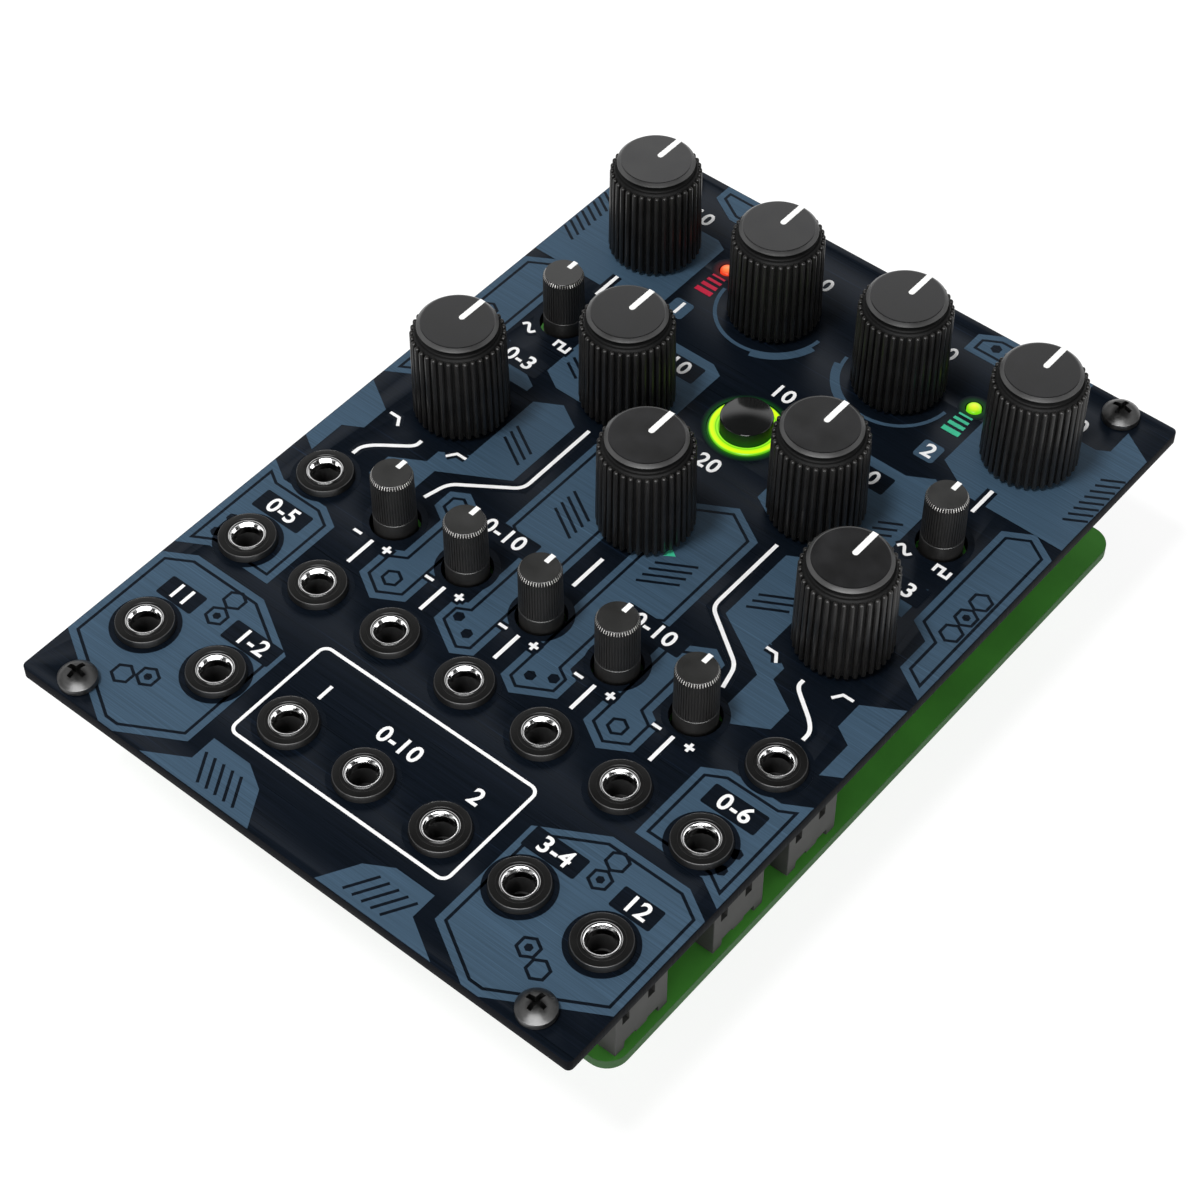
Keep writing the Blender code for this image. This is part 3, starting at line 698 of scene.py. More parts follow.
class Form:
    """One piece under way: its closed shells in millimetres, and the finishes that they take."""

    def __init__(self) -> None:
        """Starts with no shell."""
        self.shell = bmesh.new()
        self.finishes: list[bpy.types.Material] = []

    def slot(self, material: bpy.types.Material) -> int:
        """The number of a material on this piece.

        Args:
            material: The material.

        Returns:
            Its place among the piece's materials.
        """
        if material not in self.finishes:
            self.finishes.append(material)
        return self.finishes.index(material)

    def loft(
        self,
        rows: Sequence[Sequence[Point]],
        finish: Finish | Sequence[Finish],
        ends: Finish | None = None,
        closed: bool = False,
    ) -> "Form":
        """Joins rows of points into a closed shell.

        Args:
            rows: Rings of as many points, or single points. They run anticlockwise as seen from the last row.
            finish: One finish, or one for each step between two rows.
            ends: What the two flat ends are finished in, if not the same.
            closed: Whether the last row joins the first, which leaves no ends.

        Returns:
            The form itself.
        """
        rings = [[self.shell.verts.new(point) for point in row] for row in rows]
        uppers = [*rings[1:], rings[0]] if closed else rings[1:]
        coats = [finish] * len(uppers) if isinstance(finish, Finish) else finish
        for lower, upper, coat in zip(rings, uppers, coats):
            index, sides = self.slot(coat.material()), max(len(lower), len(upper))
            for side in range(sides):
                after = (side + 1) % sides
                picks = ((lower, side), (lower, after), (upper, after), (upper, side))
                corners = dict.fromkeys(ring[spot % len(ring)] for ring, spot in picks)
                self.shell.faces.new(list(corners)).material_index = index
        if not closed and len(rings[0]) > 1:
            index = self.slot((ends or finish).material())
            self.shell.faces.new(rings[0][::-1]).material_index = index
            self.shell.faces.new(rings[-1]).material_index = index
        return self

    def turn(
        self, profile: Sequence[Step], sides: int = 48, centre: Flat = (0.0, 0.0), ring: bool = False
    ) -> "Form":
        """Turns a profile round an upright axis into a closed shell.

        Args:
            profile: Its steps, from the lower end of the axis outward and up to its upper end.
            sides: Facets round the axis.
            centre: The axis's place.
            ring: Whether the profile closes on itself and leaves the axis open.

        Returns:
            The form itself.
        """
        rows = [
            [(x, y, height) for x, y in (disc(centre, radius, sides) if radius else [centre])]
            for radius, height, _ in profile
        ]
        return self.loft(rows, [coat for _, _, coat in profile], closed=ring)

    def prism(self, outline: Sequence[Flat], low: float, high: float, finish: Finish) -> "Form":
        """Raises an outline into a closed slab.

        Args:
            outline: Its points, in either order.
            low: The height of its lower face.
            high: The height of its upper face.
            finish: What it is finished in.

        Returns:
            The form itself.
        """
        path = list(outline) if doubled_area(outline) > 0 else list(outline)[::-1]
        return self.loft([[(x, y, height) for x, y in path] for height in (low, high)], finish)

    def strip(
        self, path: Sequence[Flat], width: float, low: float, high: float, finish: Finish, closed: bool = False
    ) -> "Form":
        """Lays a flat strip along a path.

        Args:
            path: The middle line.
            width: How wide the strip is.
            low: The height of its lower face.
            high: The height of its upper face.
            finish: What it is finished in.
            closed: Whether the path's end joins its start.

        Returns:
            The form itself.
        """
        rows = []
        for here, place in enumerate(path):
            spot = Vector(place)
            into = spot - Vector(path[here - 1]) if closed or here else Vector(path[1]) - spot
            out = Vector(path[(here + 1) % len(path)]) - spot if closed or here < len(path) - 1 else into
            into, out = into.normalized(), out.normalized()
            side = Vector((-(into + out).y, (into + out).x)).normalized()
            reach = width / 2 / max(0.4, side.dot(Vector((-into.y, into.x))))
            left, right = spot + side * reach, spot - side * reach
            rows.append([(*right, high), (*right, low), (*left, low), (*left, high)])
        return self.loft(rows, finish, closed=closed)

    def block(self, low: Point, high: Point, finish: Finish, edge: float = 0.0) -> "Form":
        """Adds a box whose edges may be rounded.

        Args:
            low: Its lowest corner.
            high: Its highest corner.
            finish: What it is finished in.
            edge: The radius of its edges.

        Returns:
            The form itself.
        """
        part = bmesh.new()
        size = Vector(high) - Vector(low)
        middle = (Vector(high) + Vector(low)) / 2
        bmesh.ops.create_cube(part, size=1.0, matrix=Matrix.Translation(middle) @ Matrix.Diagonal((*size, 1.0)))
        if edge:
            bmesh.ops.bevel(part, geom=part.edges[:], offset=edge, segments=2, profile=0.5, affect="EDGES")
        data = bpy.data.meshes.new("block")
        part.to_mesh(data)
        part.free()
        data.materials.append(finish.material())
        return self.add(data)

    def bar(
        self, middle: Flat, size: Flat, low: float, high: float, finish: Finish, edge: float = 0.0
    ) -> "Form":
        """Adds an upright box.

        Args:
            middle: Its axis.
            size: Its sizes along X and Y.
            low: The height of its lower end.
            high: The height of its upper end.
            finish: What it is finished in.
            edge: The radius of its edges.

        Returns:
            The form itself.
        """
        (x, y), wide, tall = middle, size[0] / 2, size[1] / 2
        return self.block((x - wide, y - tall, low), (x + wide, y + tall, high), finish, edge)

    def repeat(self, shape: Mesh, finish: Finish, places: Iterable[Flat]) -> "Form":
        """Adds a copy of a mesh, which is used up, at each place on the panel."""
        return self.add(Repeater(Pattern.PLACES).grow(shape, finish, [(x, y, 0.0) for x, y in places]))

    def add(self, data: Mesh, move: Point = (0.0, 0.0, 0.0)) -> "Form":
        """Adds a made mesh, which is used up.

        Args:
            data: The mesh, in millimetres, with its materials.
            move: How far it moves.

        Returns:
            The form itself.
        """
        before = len(self.shell.faces)
        data.transform(Matrix.Translation(move))
        slots = [self.slot(material) for material in data.materials]
        self.shell.from_mesh(data)
        self.shell.faces.ensure_lookup_table()
        for face in self.shell.faces[before:]:
            face.material_index = slots[min(face.material_index, len(slots) - 1)]
        bpy.data.meshes.remove(data)
        return self

    def data(self, name: str) -> Mesh:
        """The form as a plain mesh in millimetres. The form is used up.

        Args:
            name: The mesh's name.

        Returns:
            The mesh, with its materials.
        """
        made = bpy.data.meshes.new(name)
        self.shell.to_mesh(made)
        self.shell.free()
        for material in self.finishes:
            made.materials.append(material)
        return made

    def piece(
        self, name: str, body: str, slot: str, nodes: Iterable[str] = (), crease: float = 32.0
    ) -> None:
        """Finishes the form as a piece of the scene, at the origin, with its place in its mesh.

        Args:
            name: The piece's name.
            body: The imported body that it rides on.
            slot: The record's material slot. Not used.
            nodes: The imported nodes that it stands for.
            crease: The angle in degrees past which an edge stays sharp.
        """
        data = self.data(name)
        data.transform(Matrix.Scale(MM, 4))
        data.polygons.foreach_set("use_smooth", [True] * len(data.polygons))
        data.set_sharp_from_angle(angle=math.radians(crease))
        data.update()
        made = placed(name, data)
        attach(made, body)
        if nodes:
            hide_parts(*nodes)
        LOG.info("%s: %d faces, rides on %s", name, len(data.polygons), body)


def carved(target: Mesh, cutter: Mesh, overlaps: bool = False) -> Mesh:
    """Cuts one mesh out of another.

    Args:
        target: What is cut. It is used up.
        cutter: What it is cut with. It is used up.
        overlaps: Whether shells of either overlap one another.

    Returns:
        What is left of the target.
    """
    body, tool = placed(target.name, target), placed(cutter.name, cutter)
    modifier = body.modifiers.new("Cut", "BOOLEAN")
    modifier.operation = "DIFFERENCE"
    modifier.solver = "EXACT"
    modifier.use_self = overlaps
    modifier.object = tool
    made = taken(body)
    bpy.data.batch_remove([tool, cutter])
    return made


class Pattern(Enum):
    """How a shape is repeated."""

    PLACES = "repeat_at_places"
    RING = "repeat_round_ring"


class Repeater:
    """Geometry Nodes that set one shape many times over and give one plain mesh."""

    INPUTS = {
        Pattern.PLACES: (("Shape", "NodeSocketObject"), ("Finish", "NodeSocketMaterial")),
        Pattern.RING: (
            ("Shape", "NodeSocketObject"),
            ("Finish", "NodeSocketMaterial"),
            ("Count", "NodeSocketInt"),
            ("Radius", "NodeSocketFloat"),
            ("Centre", "NodeSocketVector"),
        ),
    }

    def __init__(self, pattern: Pattern) -> None:
        """Builds the pattern's tree, or takes it where it is there already.

        Args:
            pattern: How the shape is repeated.
        """
        self.pattern = pattern
        found = bpy.data.node_groups.get(pattern.value)
        self.tree = found if found is not None else self._tree()

    def _tree(self) -> bpy.types.NodeTree:
        """Builds the tree: points, the shape on each, one real mesh, and its finish.

        Returns:
            The tree.
        """
        tree = bpy.data.node_groups.new(self.pattern.value, "GeometryNodeTree")
        tree.is_modifier = True
        tree.interface.new_socket(name="Geometry", in_out="INPUT", socket_type="NodeSocketGeometry")
        for name, kind in self.INPUTS[self.pattern]:
            tree.interface.new_socket(name=name, in_out="INPUT", socket_type=kind)
        tree.interface.new_socket(name="Geometry", in_out="OUTPUT", socket_type="NodeSocketGeometry")
        node, link = tree.nodes.new, tree.links.new
        given, result = node("NodeGroupInput"), node("NodeGroupOutput")
        shape = node("GeometryNodeObjectInfo")
        link(given.outputs["Shape"], shape.inputs["Object"])
        spread = node("GeometryNodeInstanceOnPoints")
        link(shape.outputs["Geometry"], spread.inputs["Instance"])
        real = node("GeometryNodeRealizeInstances")
        if self.pattern is Pattern.PLACES:
            link(given.outputs["Geometry"], spread.inputs["Points"])
            link(spread.outputs["Instances"], real.inputs["Geometry"])
        else:
            circle = node("GeometryNodeMeshCircle")
            link(given.outputs["Count"], circle.inputs["Vertices"])
            link(given.outputs["Radius"], circle.inputs["Radius"])
            link(circle.outputs["Mesh"], spread.inputs["Points"])
            facing = node("FunctionNodeAlignRotationToVector")
            facing.axis = "X"
            link(node("GeometryNodeInputPosition").outputs["Position"], facing.inputs["Vector"])
            link(facing.outputs["Rotation"], spread.inputs["Rotation"])
            shifted = node("GeometryNodeTransform")
            link(spread.outputs["Instances"], shifted.inputs["Geometry"])
            link(given.outputs["Centre"], shifted.inputs["Translation"])
            link(shifted.outputs["Geometry"], real.inputs["Geometry"])
        coat = node("GeometryNodeSetMaterial")
        link(real.outputs["Geometry"], coat.inputs["Geometry"])
        link(given.outputs["Finish"], coat.inputs["Material"])
        link(coat.outputs["Geometry"], result.inputs["Geometry"])
        return tree

    def grow(
        self, shape: Mesh, finish: Finish, points: Sequence[Point] = (), **sizes: object
    ) -> Mesh:
        """Repeats a shape.

        Args:
            shape: What is repeated. It is used up.
            finish: What every copy is finished in.
            points: Where the copies stand, for Pattern.PLACES.
            **sizes: The tree's other inputs, by name.

        Returns:
            One plain mesh with every copy, in millimetres.
        """
        places = bpy.data.meshes.new("places")
        places.from_pydata(list(points), [], [])
        stencil, holder = placed("stencil", shape), placed("holder", places)
        modifier = holder.modifiers.new("Repeat", "NODES")
        modifier.node_group = self.tree
        values = {"Shape": stencil, "Finish": finish.material(), **sizes}
        for item in self.tree.interface.items_tree:
            if item.item_type == "SOCKET" and item.in_out == "INPUT" and item.name in values:
                modifier[item.identifier] = values[item.name]
        made = taken(holder)
        bpy.data.batch_remove([stencil, shape])
        return made


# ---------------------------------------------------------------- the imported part


class PackedPart:
    """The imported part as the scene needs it: which nodes there are, and where."""

    def __init__(self) -> None:
        """Loads the frame and keeps the part's own box."""
        self.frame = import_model()
        self.box = [list(corner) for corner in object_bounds()]

    def named(self, start: str) -> list[str]:
        """The nodes whose names start so, in order."""
        return sorted(name for name in self.frame["nodes"] if name.startswith(start))

    def centre(self, node: str) -> Flat:
        """The middle of a node on the panel, in millimetres. The lamps stand a little further up the panel.

        Args:
            node: The node's name.

        Returns:
            Its X and Y.
        """
        low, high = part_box(node)
        aside, along = LOW_LAMP_SHIFT if node.startswith("lamp_") else (0.0, 0.0)
        return ((low.x + high.x) / 2 / MM + aside, (low.y + high.y) / 2 / MM + along)

    def span(self, node: str) -> tuple[Point, Point]:
        """A node's lowest and highest corners, in millimetres."""
        low, high = (tuple(value / MM for value in corner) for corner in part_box(node))
        return low, high

    def centres(self, start: str) -> list[Flat]:
        """The middles of the nodes whose names start so."""
        return [self.centre(name) for name in self.named(start)]


# ---------------------------------------------------------------- controls


@dataclass
class RibbedKnob:
    """Large knob: a ribbed skirt whose ribs are painted lighter than its grooves as lit and shaded, a glossy shoulder
    with a painted sheen, and a satin face with its pointer.
    """

    ribs: int = 36
    foot: float = 2.5
    rib_top: float = 16.65
    rib_radius: float = 0.36
    foot_radius: float = 6.7
    top_radius: float = 6.5
    groove_depth: float = 0.5
    top: float = 18.37
    pointer_width: float = 0.85
    pointer_start: float = 0.55
    pointer_end: float = 5.2

    def profile(self) -> list[Step]:
        """The turned outline from the shaft's tip to the face.

        Returns:
            The profile's steps.
        """
        low, high, neck = self.foot_radius - self.groove_depth, self.top_radius - self.groove_depth, self.rib_top
        return [
            *coated(TINNED, (0.0, -6.2), (2.15, -6.2), (2.3, -6.05), (2.3, -0.2), (3.0, -0.2)),
            *coated(
                SKIRT_PLASTIC, (3.0, 5.5), (5.3, 5.5), (5.3, self.foot), (low - 0.1, self.foot),
                (low, self.foot + 0.1), (high, neck - 0.3), (high - 0.05, neck + 0.02), (5.78, neck + 0.27),
                (5.72, neck + 0.3), (5.5, neck + 0.3), (5.36, neck + 0.46), (5.33, neck + 0.74), (5.37, neck + 1.02),
            ),
            *coated(SHOULDER_PLASTIC_SHEEN, (5.48, neck + 1.2), (5.53, neck + 1.25), (5.52, neck + 1.3)),
            *coated(SHOULDER_PLASTIC_SHEEN, (5.1, self.top - 0.03)),
            *coated(FACE_PLASTIC, (5.05, self.top), (4.9, self.top), (0.0, self.top)),
        ]  # fmt: skip

    def rib(self) -> Mesh:
        """One rib: a drafted round bar with a domed top.

        Returns:
            A closed bar beside the axis, at the foot's radius.
        """
        radius, height = self.rib_radius, self.rib_top - self.foot
        lean = (self.foot_radius - self.top_radius) / height
        rows = [(0.0, 0.9), (0.08, 1.0), (height - radius, 1.0)]
        for turn in map(math.radians, (30.0, 58.0, 78.0)):
            rows.append((height - radius * (1 - math.sin(turn)), math.cos(turn)))
        rings = [
            [(x, y, rise) for x, y in disc((-radius - lean * rise, 0.0), radius * share, 10)]
            for rise, share in rows
        ]
        return Form().loft(rings, RIB_PLASTIC_LIT).data("rib")

    def pointer(self, centre: Flat) -> list[Flat]:
        """The pointer's outline: round at its inner end, square at its outer one.

        Args:
            centre: The knob's axis.

        Returns:
            The outline's points.
        """
        (x, y), half = centre, self.pointer_width / 2
        inner = arc((x, y + self.pointer_start + half), half, 180.0, 360.0, 10)
        return [*inner, (x + half, y + self.pointer_end), (x - half, y + self.pointer_end)]

    def build(self, part: PackedPart, node: str) -> None:
        """Builds the knob that stands for a node, and sets it on that node's body.

        Args:
            part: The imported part.
            node: The knob's node.
        """
        x, y = part.centre(node)
        ribs = Repeater(Pattern.RING).grow(
            self.rib(), RIB_PLASTIC_LIT, Count=self.ribs, Radius=self.foot_radius, Centre=(x, y, self.foot)
        )
        form = Form().turn(self.profile(), 96, (x, y)).add(ribs)
        form.prism(self.pointer((x, y)), self.top - 0.05, self.top + 0.025, POINTER_PAINT)
        form.piece(f"ribbed_{node}", node, "knob", [node])


@dataclass
class KnurledKnob:
    """Small knob: a plain collar with a painted highlight on its top edge, a finely toothed grip whose top edge is
    bright metal as a painted highlight, and a short pointer.
    """

    teeth: int = 48
    collar_radius: float = 2.95
    collar_top: float = 4.1
    core_radius: float = 2.78
    top_core_radius: float = 2.73
    tooth_depth: float = 0.16
    slope: float = 0.55
    face_radius: float = 2.57
    top: float = 11.4
    pointer_width: float = 0.72
    pointer_start: float = 1.15
    pointer_end: float = 2.7

    def profile(self) -> list[Step]:
        """The turned outline from the journal's tip to the face.

        Returns:
            The profile's steps.
        """
        collar, core, face, edge = self.collar_radius, self.core_radius, self.face_radius, self.collar_top
        return [
            *coated(TINNED, (0.0, -6.2), (1.55, -6.2), (1.7, -6.05)),
            *coated(TRIM_PLASTIC, (1.7, -0.2), (collar, -0.2)),
            *coated(COLLAR_EDGE_HIGHLIGHT, (collar, edge - 0.09)),
            *coated(TRIM_PLASTIC, (collar - 0.05, edge - 0.01), (core + 0.1, edge), (core, edge + 0.05)),
            *coated(SKIRT_PLASTIC, (self.top_core_radius, self.top - self.slope - 0.03)),
            *coated(TRIM_FACE, (face + 0.02, self.top - 0.03), (face, self.top), (face - 0.12, self.top)),
            *coated(TRIM_FACE, (0.0, self.top)),
        ]

    def tooth(self, tip: bool) -> Mesh:
        """One tooth.

        Args:
            tip: Whether it is the slope at the upper end, or the ridge below it.

        Returns:
            A closed bar beside the axis, at the core's radius.
        """
        height, depth = self.top - self.collar_top, self.tooth_depth
        lean, inward = self.core_radius - self.top_core_radius, self.core_radius - self.face_radius
        rows = [(0.04, 0.0, 0.12), (height - self.slope, -lean, 0.12)]
        if tip:
            rows = [(height - self.slope - 0.08, 0.004 - lean, 0.02), (height - 0.01, 0.01 - inward - depth, 0.085)]
        rings = []
        for rise, shift, half in rows:
            side = [(-0.16, half * 1.5), (depth * 0.8, half)]
            corners = [*((x, -y) for x, y in side), (depth, 0.0), *side[::-1]]
            rings.append([(x + shift, y, rise) for x, y in corners])
        return Form().loft(rings, TOOTH_GLINT_METAL if tip else TRIM_PLASTIC).data("tooth")

    def build(self, part: PackedPart, node: str) -> None:
        """Builds the knob that stands for a node, and sets it on that node's body.

        Args:
            part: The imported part.
            node: The knob's node.
        """
        x, y = part.centre(node)
        form = Form().turn(self.profile(), 80, (x, y))
        sizes = {"Count": self.teeth, "Radius": self.core_radius, "Centre": (x, y, self.collar_top)}
        for tip, finish in ((False, TRIM_PLASTIC), (True, TOOTH_GLINT_METAL)):
            form.add(Repeater(Pattern.RING).grow(self.tooth(tip), finish, **sizes))
        middle, size = (self.pointer_start + self.pointer_end) / 2, self.pointer_end - self.pointer_start
        form.bar((x, y + middle), (self.pointer_width, size), self.top - 0.3, self.top + 0.02, POINTER_PAINT)
        form.piece(f"knurled_{node}", node, "knob", [node], crease=28.0)


@dataclass
class JackSocket:
    """Jack sockets: a moulded housing on feet, a bright rim with a dark bore, and a round nut."""

    width: float = 12.2
    length: float = 9.85
    seat: float = -10.5
    roof: float = -0.3
    bore: float = 1.8
    rim: float = 2.5
    nut: float = 3.99
    nut_height: float = 1.05

    def housing(self) -> Mesh:
        """The housing with its feet, its two slots on each side and the hole for the plug.

        Returns:
            A closed mesh about the socket's axis.
        """
        half, wide = self.length / 2, self.width / 2
        foot, rib, belly = half - 1.7, 1.05, self.seat + 1.4
        form = Form()
        outline = [
            (-half, self.seat), (-foot, self.seat), (-foot, belly), (-rib, belly), (-rib, belly - 0.65),
            (rib, belly - 0.65), (rib, belly), (foot, belly), (foot, self.seat), (half, self.seat),
            (half, self.roof), (-half, self.roof),
        ]  # fmt: skip
        form.prism(outline, -wide, wide, HOUSING_PLASTIC)
        for vert in form.shell.verts:
            y, z, x = vert.co
            vert.co = (x, y, z)
        upright = [
            edge
            for edge in form.shell.edges
            if abs(abs(edge.verts[0].co.x) - wide) < 0.01 and abs(edge.verts[0].co.x - edge.verts[1].co.x) < 0.01
        ]
        bmesh.ops.bevel(form.shell, geom=upright, offset=0.07, segments=1, affect="EDGES")
        body = form.data("housing")
        tool = Form()
        for side in (-wide, wide):
            for shift in (-2.95, 1.85):
                tool.bar((side, shift), (1.8, 1.3), self.roof - 4.75, self.roof + 1.0, BORE_BLACK)
        tool.turn(coated(BORE_BLACK, (0.0, -9.7), (2.2, -9.7), (2.2, 1.0), (0.0, 1.0)), 32)
        return carved(body, tool.data("housing_cuts"))

    def build(self, part: PackedPart) -> None:
        """Builds every socket as one fixed piece.

        Args:
            part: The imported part.
        """
        nodes = part.named("jack_")
        base, top = FRONT, FRONT + self.nut_height
        nut, rim, bore = self.nut, self.rim, self.bore
        rings = (
            (NUT_BLACK, (
                (2.54, base + 0.02), (nut - 0.06, base + 0.02), (nut, base + 0.08), (nut - 0.13, top - 0.1),
                (nut - 0.17, top - 0.03), (nut - 0.26, top - 0.01), (2.96, top - 0.01), (2.88, top - 0.1),
                (2.54, top - 0.12),
            )),
            (NUT_EDGE_HIGHLIGHT, (
                (3.72, top - 0.05), (3.865, top - 0.09), (3.85, top - 0.03), (3.81, top + 0.005), (3.75, top),
            )),
            (RIM_PLATE, (
                (1.95, base - 1.2), (rim, base - 1.2), (rim, base + 1.1), (rim - 0.03, base + 1.17),
                (2.42, base + 1.2), (2.34, base + 1.2), (2.23, base + 1.18), (2.15, base + 1.12),
                (2.09, base + 1.02), (2.0, base + 0.84), (1.9, base + 0.67), (1.82, base + 0.53),
                (bore, base + 0.4), (bore, base - 0.5),
            )),
        )  # fmt: skip
        barrel = coated(
            BORE_BLACK,
            (0.0, -9.6), (2.18, -9.6), (2.18, -0.31), (2.9, -0.31), (2.9, base + 0.3), (1.94, base + 0.3),
            (1.94, base - 0.45), (bore, base - 0.5), (bore, -1.6), (1.62, -1.72), (1.62, -1.9), (bore, -2.0),
            (bore, -8.85), (0.0, -8.85),
        )  # fmt: skip
        places = part.centres("jack_")
        form = Form()
        for finish, points in rings:
            ring = Form().turn(coated(finish, *points), 64, ring=True).data("ring")
            form.repeat(ring, finish, places)
        form.repeat(Form().turn(barrel, 40).data("barrel"), BORE_BLACK, places)
        form.repeat(self.housing(), HOUSING_PLASTIC, places)
        form.piece("jack_sockets", FIXED, "jack", nodes)


@dataclass
class PushButton:
    """The push button's glossy cap, its lit ring and its switch."""

    cap_radius: float = 3.67
    cap_rise: float = 0.38
    cap_foot: float = -2.0
    cap_top: float = 4.75
    ring_inner: float = 3.85
    ring_outer: float = 5.15
    ring_foot: float = -2.5
    ring_top: float = 2.25
    lip: float = 5.41
    reach: float = 6.7
    glow: float = 5.0

    def cap(self, part: PackedPart) -> None:
        """The domed cap, which slides with its own body.

        Args:
            part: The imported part.
        """
        radius, foot = self.cap_radius, self.cap_foot
        edge, rim = self.cap_top - self.cap_rise, radius - 0.07
        profile = coated(CAP_SIDE_RING_GLOW, (0.0, foot), (radius - 0.1, foot), (radius, foot + 0.1))
        profile += coated(CAP_PLASTIC, (radius, edge - 0.09), (radius - 0.02, edge - 0.03), (rim, edge))
        for share in (1 - step / 12 for step in range(1, 13)):
            profile.append((rim * share, self.cap_top - self.cap_rise * share**2, CAP_PLASTIC))
        form = Form().turn(profile, 96, part.centre("button_cap"))
        form.piece("domed_cap", "button", "cap", ["button_cap"], crease=60.0)

    def ring(self, part: PackedPart) -> None:
        """The lit ring round the cap.

        Args:
            part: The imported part.
        """
        centre = part.centre("light_ring")
        lit = LitEpoxy(
            "ring_lit",
            (150, 255, 20),
            0.3,
            centre=centre,
            reach=self.reach,
            stops=(
                (0.568, (0, 120, 20)), (0.83, (12, 78, 10)), (0.585, (160, 250, 60)), (0.612, (150, 240, 40)),
                (0.63, (112, 208, 20)), (0.65, (190, 255, 30)), (0.69, (224, 255, 25)), (0.735, (224, 255, 25)),
                (0.758, (150, 240, 35)), (0.767, (110, 210, 30)), (0.774, (20, 92, 14)),
            ),
            glow=self.glow,
        )  # fmt: skip
        inner, outer, top = self.ring_inner, self.ring_outer, self.ring_top
        profile = coated(
            lit,
            (inner, self.ring_foot), (outer, self.ring_foot), (outer, FRONT - 0.5), (self.lip, FRONT - 0.5),
            (self.lip, FRONT - 0.1), (outer, FRONT - 0.05), (outer, top - 0.1), (outer - 0.1, top),
            (inner + 0.1, top), (inner, top - 0.1),
        )  # fmt: skip
        Form().turn(profile, 96, centre, ring=True).piece("lit_ring", FIXED, "ring", ["light_ring"])

    def switch(self, part: PackedPart) -> None:
        """The switch under the button, with its four legs.

        Args:
            part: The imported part.
        """
        low, high = part.span("switch_body")
        x, y = part.centre("switch_body")
        top = high[2]
        form = Form().block(low, (high[0], high[1], top - 0.5), SWITCH_PLASTIC, 0.25)
        plug = coated(SWITCH_PLASTIC, (0.0, top - 0.7), (4.6, top - 0.7), (4.6, top - 0.12), (4.48, top), (0.0, top))
        form.turn(plug, 48, (x, y))
        for column in (low[0] - 0.125, high[0] + 0.125):
            for row in (y - 3.2, y + 3.2):
                form.bar((column, row), (0.25, 0.9), low[2], low[2] + 3.0, TINNED)
        form.piece("switch", FIXED, "header", ["switch_body"])

    def build(self, part: PackedPart) -> None:
        """Builds the three pieces.

        Args:
            part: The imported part.
        """
        self.cap(part)
        self.ring(part)
        self.switch(part)


@dataclass
class IndicatorLamp:
    """A round lamp: a lit lens on a flange, on two leads."""

    node: str
    slot: str
    stops: tuple[tuple[float, Hue], ...]
    radius: float = 1.05
    dome: float = 0.44
    top: float = 2.45
    base: float = -2.05
    seat: float = -10.5
    glow: float = 4.0

    def build(self, part: PackedPart) -> None:
        """Builds the lamp that stands for its node.

        Args:
            part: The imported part.
        """
        x, y = part.centre(self.node)
        lit = LitEpoxy(
            f"{self.slot}_lit",
            self.stops[0][1],
            0.25,
            centre=(x, y),
            reach=self.radius,
            stops=self.stops,
            glow=self.glow,
        )
        profile = coated(
            lit,
            (0.0, self.base), (1.42, self.base), (1.5, self.base + 0.1), (1.5, self.base + 0.5),
            (1.42, self.base + 0.6), (self.radius, self.base + 0.6), (self.radius, self.top - self.dome),
        )  # fmt: skip
        for turn in (math.pi / 16 * step for step in range(1, 8)):
            rise = self.top - self.dome * (1 - math.sin(turn))
            profile.append((self.radius * math.cos(turn), rise, lit))
        form = Form().turn([*profile, (0.0, self.top, lit)], 40, (x, y))
        for side in (-0.65, 0.65):
            form.bar((x + side, y), (0.5, 0.5), self.seat, self.base + 0.2, TINNED)
        form.piece(f"{self.node}_lens", FIXED, self.slot, [self.node])


@dataclass
class PanHeadScrew:
    """The mounting screws: domed heads with a cross recess."""

    head: float = 2.6
    edge: float = 3.0
    seat: float = 2.3
    top: float = 4.3
    shank: float = 1.3
    tip: float = -3.7

    def shape(self) -> Mesh:
        """One screw.

        Returns:
            A closed mesh about the screw's axis.
        """
        neck, brim = self.seat - 0.28, self.head - 0.07
        rise = self.edge + 0.03
        profile = coated(
            SCREW_STEEL,
            (0.0, self.tip), (self.shank - 0.35, self.tip), (self.shank, self.tip + 0.45), (self.shank, neck),
            (self.head - 0.1, neck), (self.head, neck + 0.1), (self.head, self.edge - 0.08),
            (self.head - 0.02, self.edge - 0.02), (brim, rise),
        )  # fmt: skip
        for share in (1 - step / 24 for step in range(1, 25)):
            profile.append((brim * share, self.top - (self.top - rise) * share**2.3, SCREW_STEEL))
        rings = []
        for height, length, width in ((self.top - 1.1, 1.3, 0.3), (self.top + 0.5, 1.44, 0.36)):
            arm = [(width, -width), (length, -width), (length, width)]
            ring: list[Point] = []
            for _ in range(4):
                ring += [(x, y, height) for x, y in arm]
                arm = [(-y, x) for x, y in arm]
            rings.append(ring)
        # The recess walls take a near-black finish: painted shade.
        recess = Form().loft(rings, RECESS_PAINTED_SHADE).data("recess")
        return carved(Form().turn(profile, 72).data("screw"), recess)

    def build(self, part: PackedPart) -> None:
        """Builds the four screws as one fixed piece."""
        form = Form().repeat(self.shape(), SCREW_STEEL, part.centres("screw_"))
        form.piece("mounting_screws", FIXED, "screw", part.named("screw_"))


